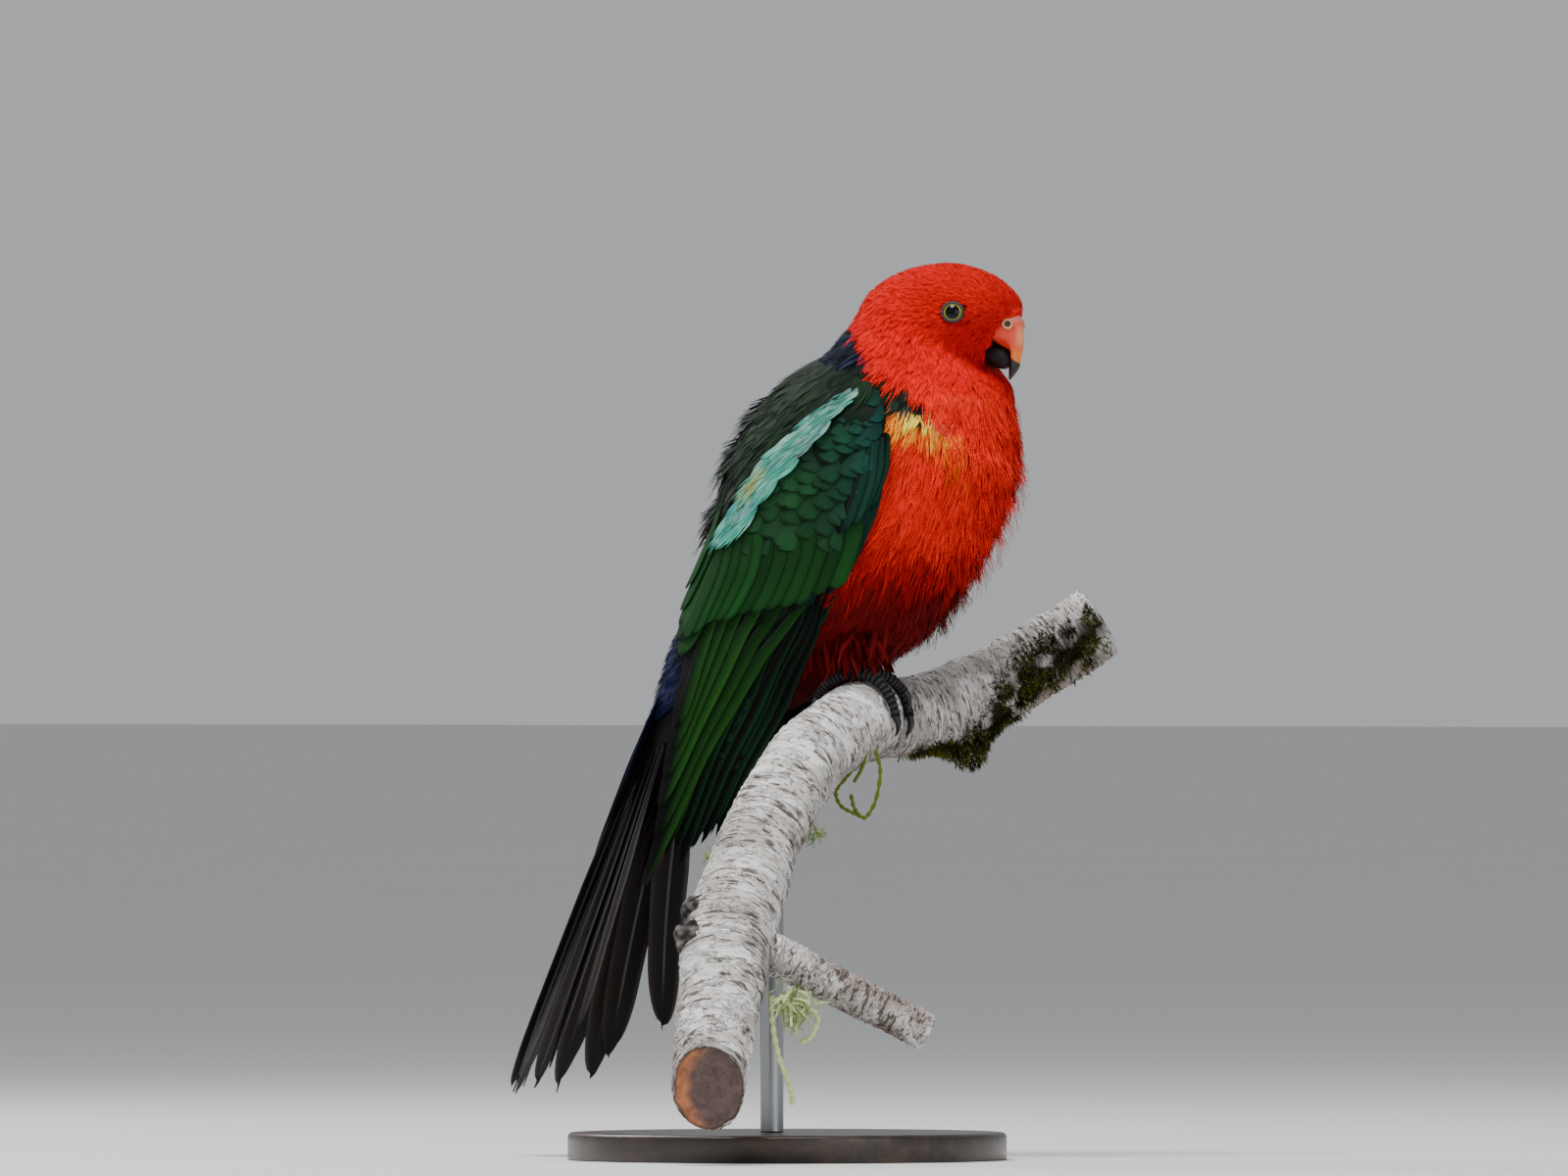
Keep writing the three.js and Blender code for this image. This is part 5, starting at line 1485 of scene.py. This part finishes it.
# A claw: it goes on round the perch from the toe's end, arches and comes to a point
def claw(side, spread, end):
    t = np.linspace(0, 1, 28)
    angle = np.radians(end + np.sign(end) * foot["clawTurn"] * (t * 1.12 - 0.12))
    height = np.interp(t, foot["clawKey"], foot["clawHeight"]) + foot["lift"]
    line = perchPoint(foot["stations"][side] - side * spread + 0 * t, angle, height)
    thick = perVane(np.interp(t, foot["clawKey"], foot["clawThick"]))
    return tubePart(tubeRings(line, thick, 16, up=(0.3, 0.2, 1.0)), foot["claw"])


# The short bare shank over the toes, with a ball at the ankle
def shank(ankle, side):
    t = np.linspace(0, 1, 24)[:, None]
    thick = foot["shank"] * (1 + 0.15 * t) * (1 + 0.04 * np.cos(t * 60))
    knee = ankle + np.array([-2.5, side * 0.5, 3.0])
    x, y, z, _ = ballGrid(foot["shank"] + 0.4, 20, 28)
    ball = ankle + np.stack([x, y, z], -1).reshape(-1, 3)
    faces = faceOut(ball, gridFaces(*x.shape, closed=True))
    rings = tubeRings(blend(ankle, knee, t), thick[..., None], 24, up=(1.0, 0, 0))
    return [tubePart(rings, foot["skin"]), dict(points=ball, faces=faces, tint=plainTint(foot["skin"], ball))]


# Thigh feathers hang from the belly round the ankle
def makeThigh(ankle, side, name):
    number = foot["thighFeathers"]
    roots = ankle + np.array([-5, side * 0.3, 16]) + rng.normal(0, 1, (number, 3)) * [6.5, 2.0, 3.5]
    ways = unit(np.array([0.15, side * 0.12, -1.0]) + rng.normal(0, 0.24, (number, 3)))
    tint = bodyColour(roots, np.full(number, 2.4), np.full(number, 2.6))
    tint = tint * rng.uniform(0.85, 1.15, (number, 1))
    place = (roots - ankle)[:, :2] * [0.016, 0.04] + 0.5
    made = blades(roots, ways, rng.uniform(9, 17, number), 2.8, tint * 0.9, tint * 1.05, 0.5, place)
    coatPiece(f"thigh_{name}", made, redFeather, "red_plumage")


def makeFoot(side, name):
    ankle = perchPoint(np.array([float(foot["stations"][side])]), np.zeros(1), foot["shank"])[0]
    toes = joined([toe(side, *values) for values in foot["toes"]] + shank(ankle, side))
    claws = joined([claw(side, spread, end) for spread, _, end, _ in foot["toes"]])
    makeThigh(ankle, side, name)
    for piece, made, material, nodes in ((f"toes_{name}", toes, footScales, [f"leg_{name}"]),
                                         (f"claws_{name}", claws, clawHorn, [])):
        settle(meshPiece(piece, made["points"], made["faces"], material, colours=dict(tint=made["tint"])),
               "scaly_skin", *nodes)


print("feet")
for side, name in sides:
    makeFoot(side, name)

# Stand: a turned base and a plain rod, in mm from the middle of the base's underside
stand = dict(radius=95, thickness=12, edge=2.2, underEdge=0.6, rodRadius=5, rodEdge=0.4,
             rodPlace=[10.0, -37.0], rodGap=0.3, wood=rgb(58, 40, 30), woodDark=rgb(30, 20, 15),
             steel=rgb(150, 152, 156))


def baseMaterial():
    m = Maker("stainedWood")
    place = m.place()
    figure = m.noise(m.stretched(place, (2.0, 22.0, 22.0)), 6.0, 5.0, 0.6)
    pore = m.noise(m.stretched(place, (40.0, 700.0, 700.0)), 1.0, 3.0)
    colour = m.mixed(stand["woodDark"], stand["wood"], figure.step(0.35, 0.65))
    colour = m.mixed(colour, stand["woodDark"], (pore - 0.55).step(0.0, 0.1) * 0.5)
    return m.finish(Base_Color=colour, Roughness=pore * 0.15 + 0.3, Coat_Weight=0.2, Coat_Roughness=0.25,
                    Normal=m.bump(pore * 0.5 + figure * 0.2, 0.0002))


def rodMaterial():
    m = Maker("brushedSteel")
    brush = m.noise(m.stretched(m.place(), (900.0, 900.0, 12.0)), 1.0, 3.0)
    return m.finish(Base_Color=m.scaled(stand["steel"], brush * 0.3 + 0.85), Metallic=1.0,
                    Roughness=brush * 0.2 + 0.25, Normal=m.bump(brush, 0.00005))


# Turned: a profile of (radius, height) points carried round the Z axis
def turnedPiece(name, profile, centre, material, slot, around, node):
    a = turnOf(around)[None, :]
    r, z = np.array(profile, float).T[:, :, None]
    rings = np.stack([centre[0] + r * np.cos(a), centre[1] + r * np.sin(a), z + 0 * a], -1)
    points, faces = closedTube(rings)
    return settle(meshPiece(name, points, faceOut(points, faces), material, world=True), slot, node)


def makeStand():
    quarter = np.radians(np.linspace(0, 90, 9))
    e, top, wide, under = [stand[key] for key in ("edge", "thickness", "radius", "underEdge")]
    edge = [[wide - e + e * np.cos(q), top - e + e * np.sin(q)] for q in quarter]
    profile = [[0.5, 0], [wide - under, 0], [wide, under]] + edge + [[70, top], [40, top], [0.5, top]]
    turnedPiece("turned_base", profile, (0, 0), baseMaterial(), "base_wood", 180, "stand_base")
    low, high = top + stand["rodGap"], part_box("stand_rod")[1][2] / mm
    rod, e = stand["rodRadius"], stand["rodEdge"]
    straight = [[rod, z] for z in np.linspace(low + 1, high - 4, 8)]
    profile = [[0.2, low], [rod - e, low], [rod, low + e]] + straight
    profile += [[rod - 0.2, high - 3.8], [0.2, high - 3.8]]
    turnedPiece("brushed_rod", profile, stand["rodPlace"], rodMaterial(), "rod_steel", 48, "stand_rod")


print("stand")
makeStand()

# Floor, light and camera. The camera looks at a place of the bird's frame from the photo's side, and lights
# stand off that place to the right, away and up, in metres.
stage = dict(floor=rgb(214, 214, 212), size=40.0, world=rgb(226, 229, 232), strength=0.58, distance=14.0,
             width=0.68, azimuth=np.radians(25), target=[-30.8, -14.4, 57.4], sink=0.012,
             lights=(("key", (-0.35, -0.7, 2.0), 61, 1.0), ("fill", (1.3, -1.8, 0.5), 12, 1.6),
                     ("rim", (-0.9, 1.0, 1.1), 18, 0.9)))


# Puts a camera or a lamp in the scene, looking along a direction
def placed(name, data, place, direction):
    made = bpy.data.objects.new(name, data)
    made.location = place
    made.rotation_euler = direction.to_track_quat("-Z", "Y").to_euler()
    bpy.context.scene.collection.objects.link(made)
    return made


def makeStage():
    corners = np.array([[-1, -1, 0], [1, -1, 0], [1, 1, 0], [-1, 1, 0]]) * stage["size"] / mm
    m = Maker("paleFloor")
    m.finish(Base_Color=m.scaled(stage["floor"], m.noise(m.place(), 3.0) * 0.04 + 0.98), Roughness=0.9)
    meshPiece("floor", corners, np.array([[0, 1, 2, 3]]), m.material, world=True)
    world = bpy.data.worlds.new("studio")
    world.use_nodes = True
    background = world.node_tree.nodes["Background"]
    background.inputs[0].default_value = (*stage["world"], 1)
    background.inputs[1].default_value = stage["strength"]
    bpy.context.scene.world = world
    target = Vector(((birdOrigin + stage["target"]) * mm).tolist())
    target.z -= stage["sink"]
    right = Vector((np.cos(stage["azimuth"]), np.sin(stage["azimuth"]), 0))
    away = Vector((-right.y, right.x, 0))
    camera = bpy.data.cameras.new("camera")
    camera.lens = camera.sensor_width * stage["distance"] / stage["width"]
    camera.clip_end = 100
    bpy.context.scene.camera = placed("camera", camera, target - away * stage["distance"], away)
    for name, (x, y, z), power, size in stage["lights"]:
        light = bpy.data.lights.new(name, "AREA")
        light.energy, light.size = power, size
        place = target + right * x + away * y + Vector((0, 0, z))
        placed(name, light, place, target - place)


print("stage")
makeStage()
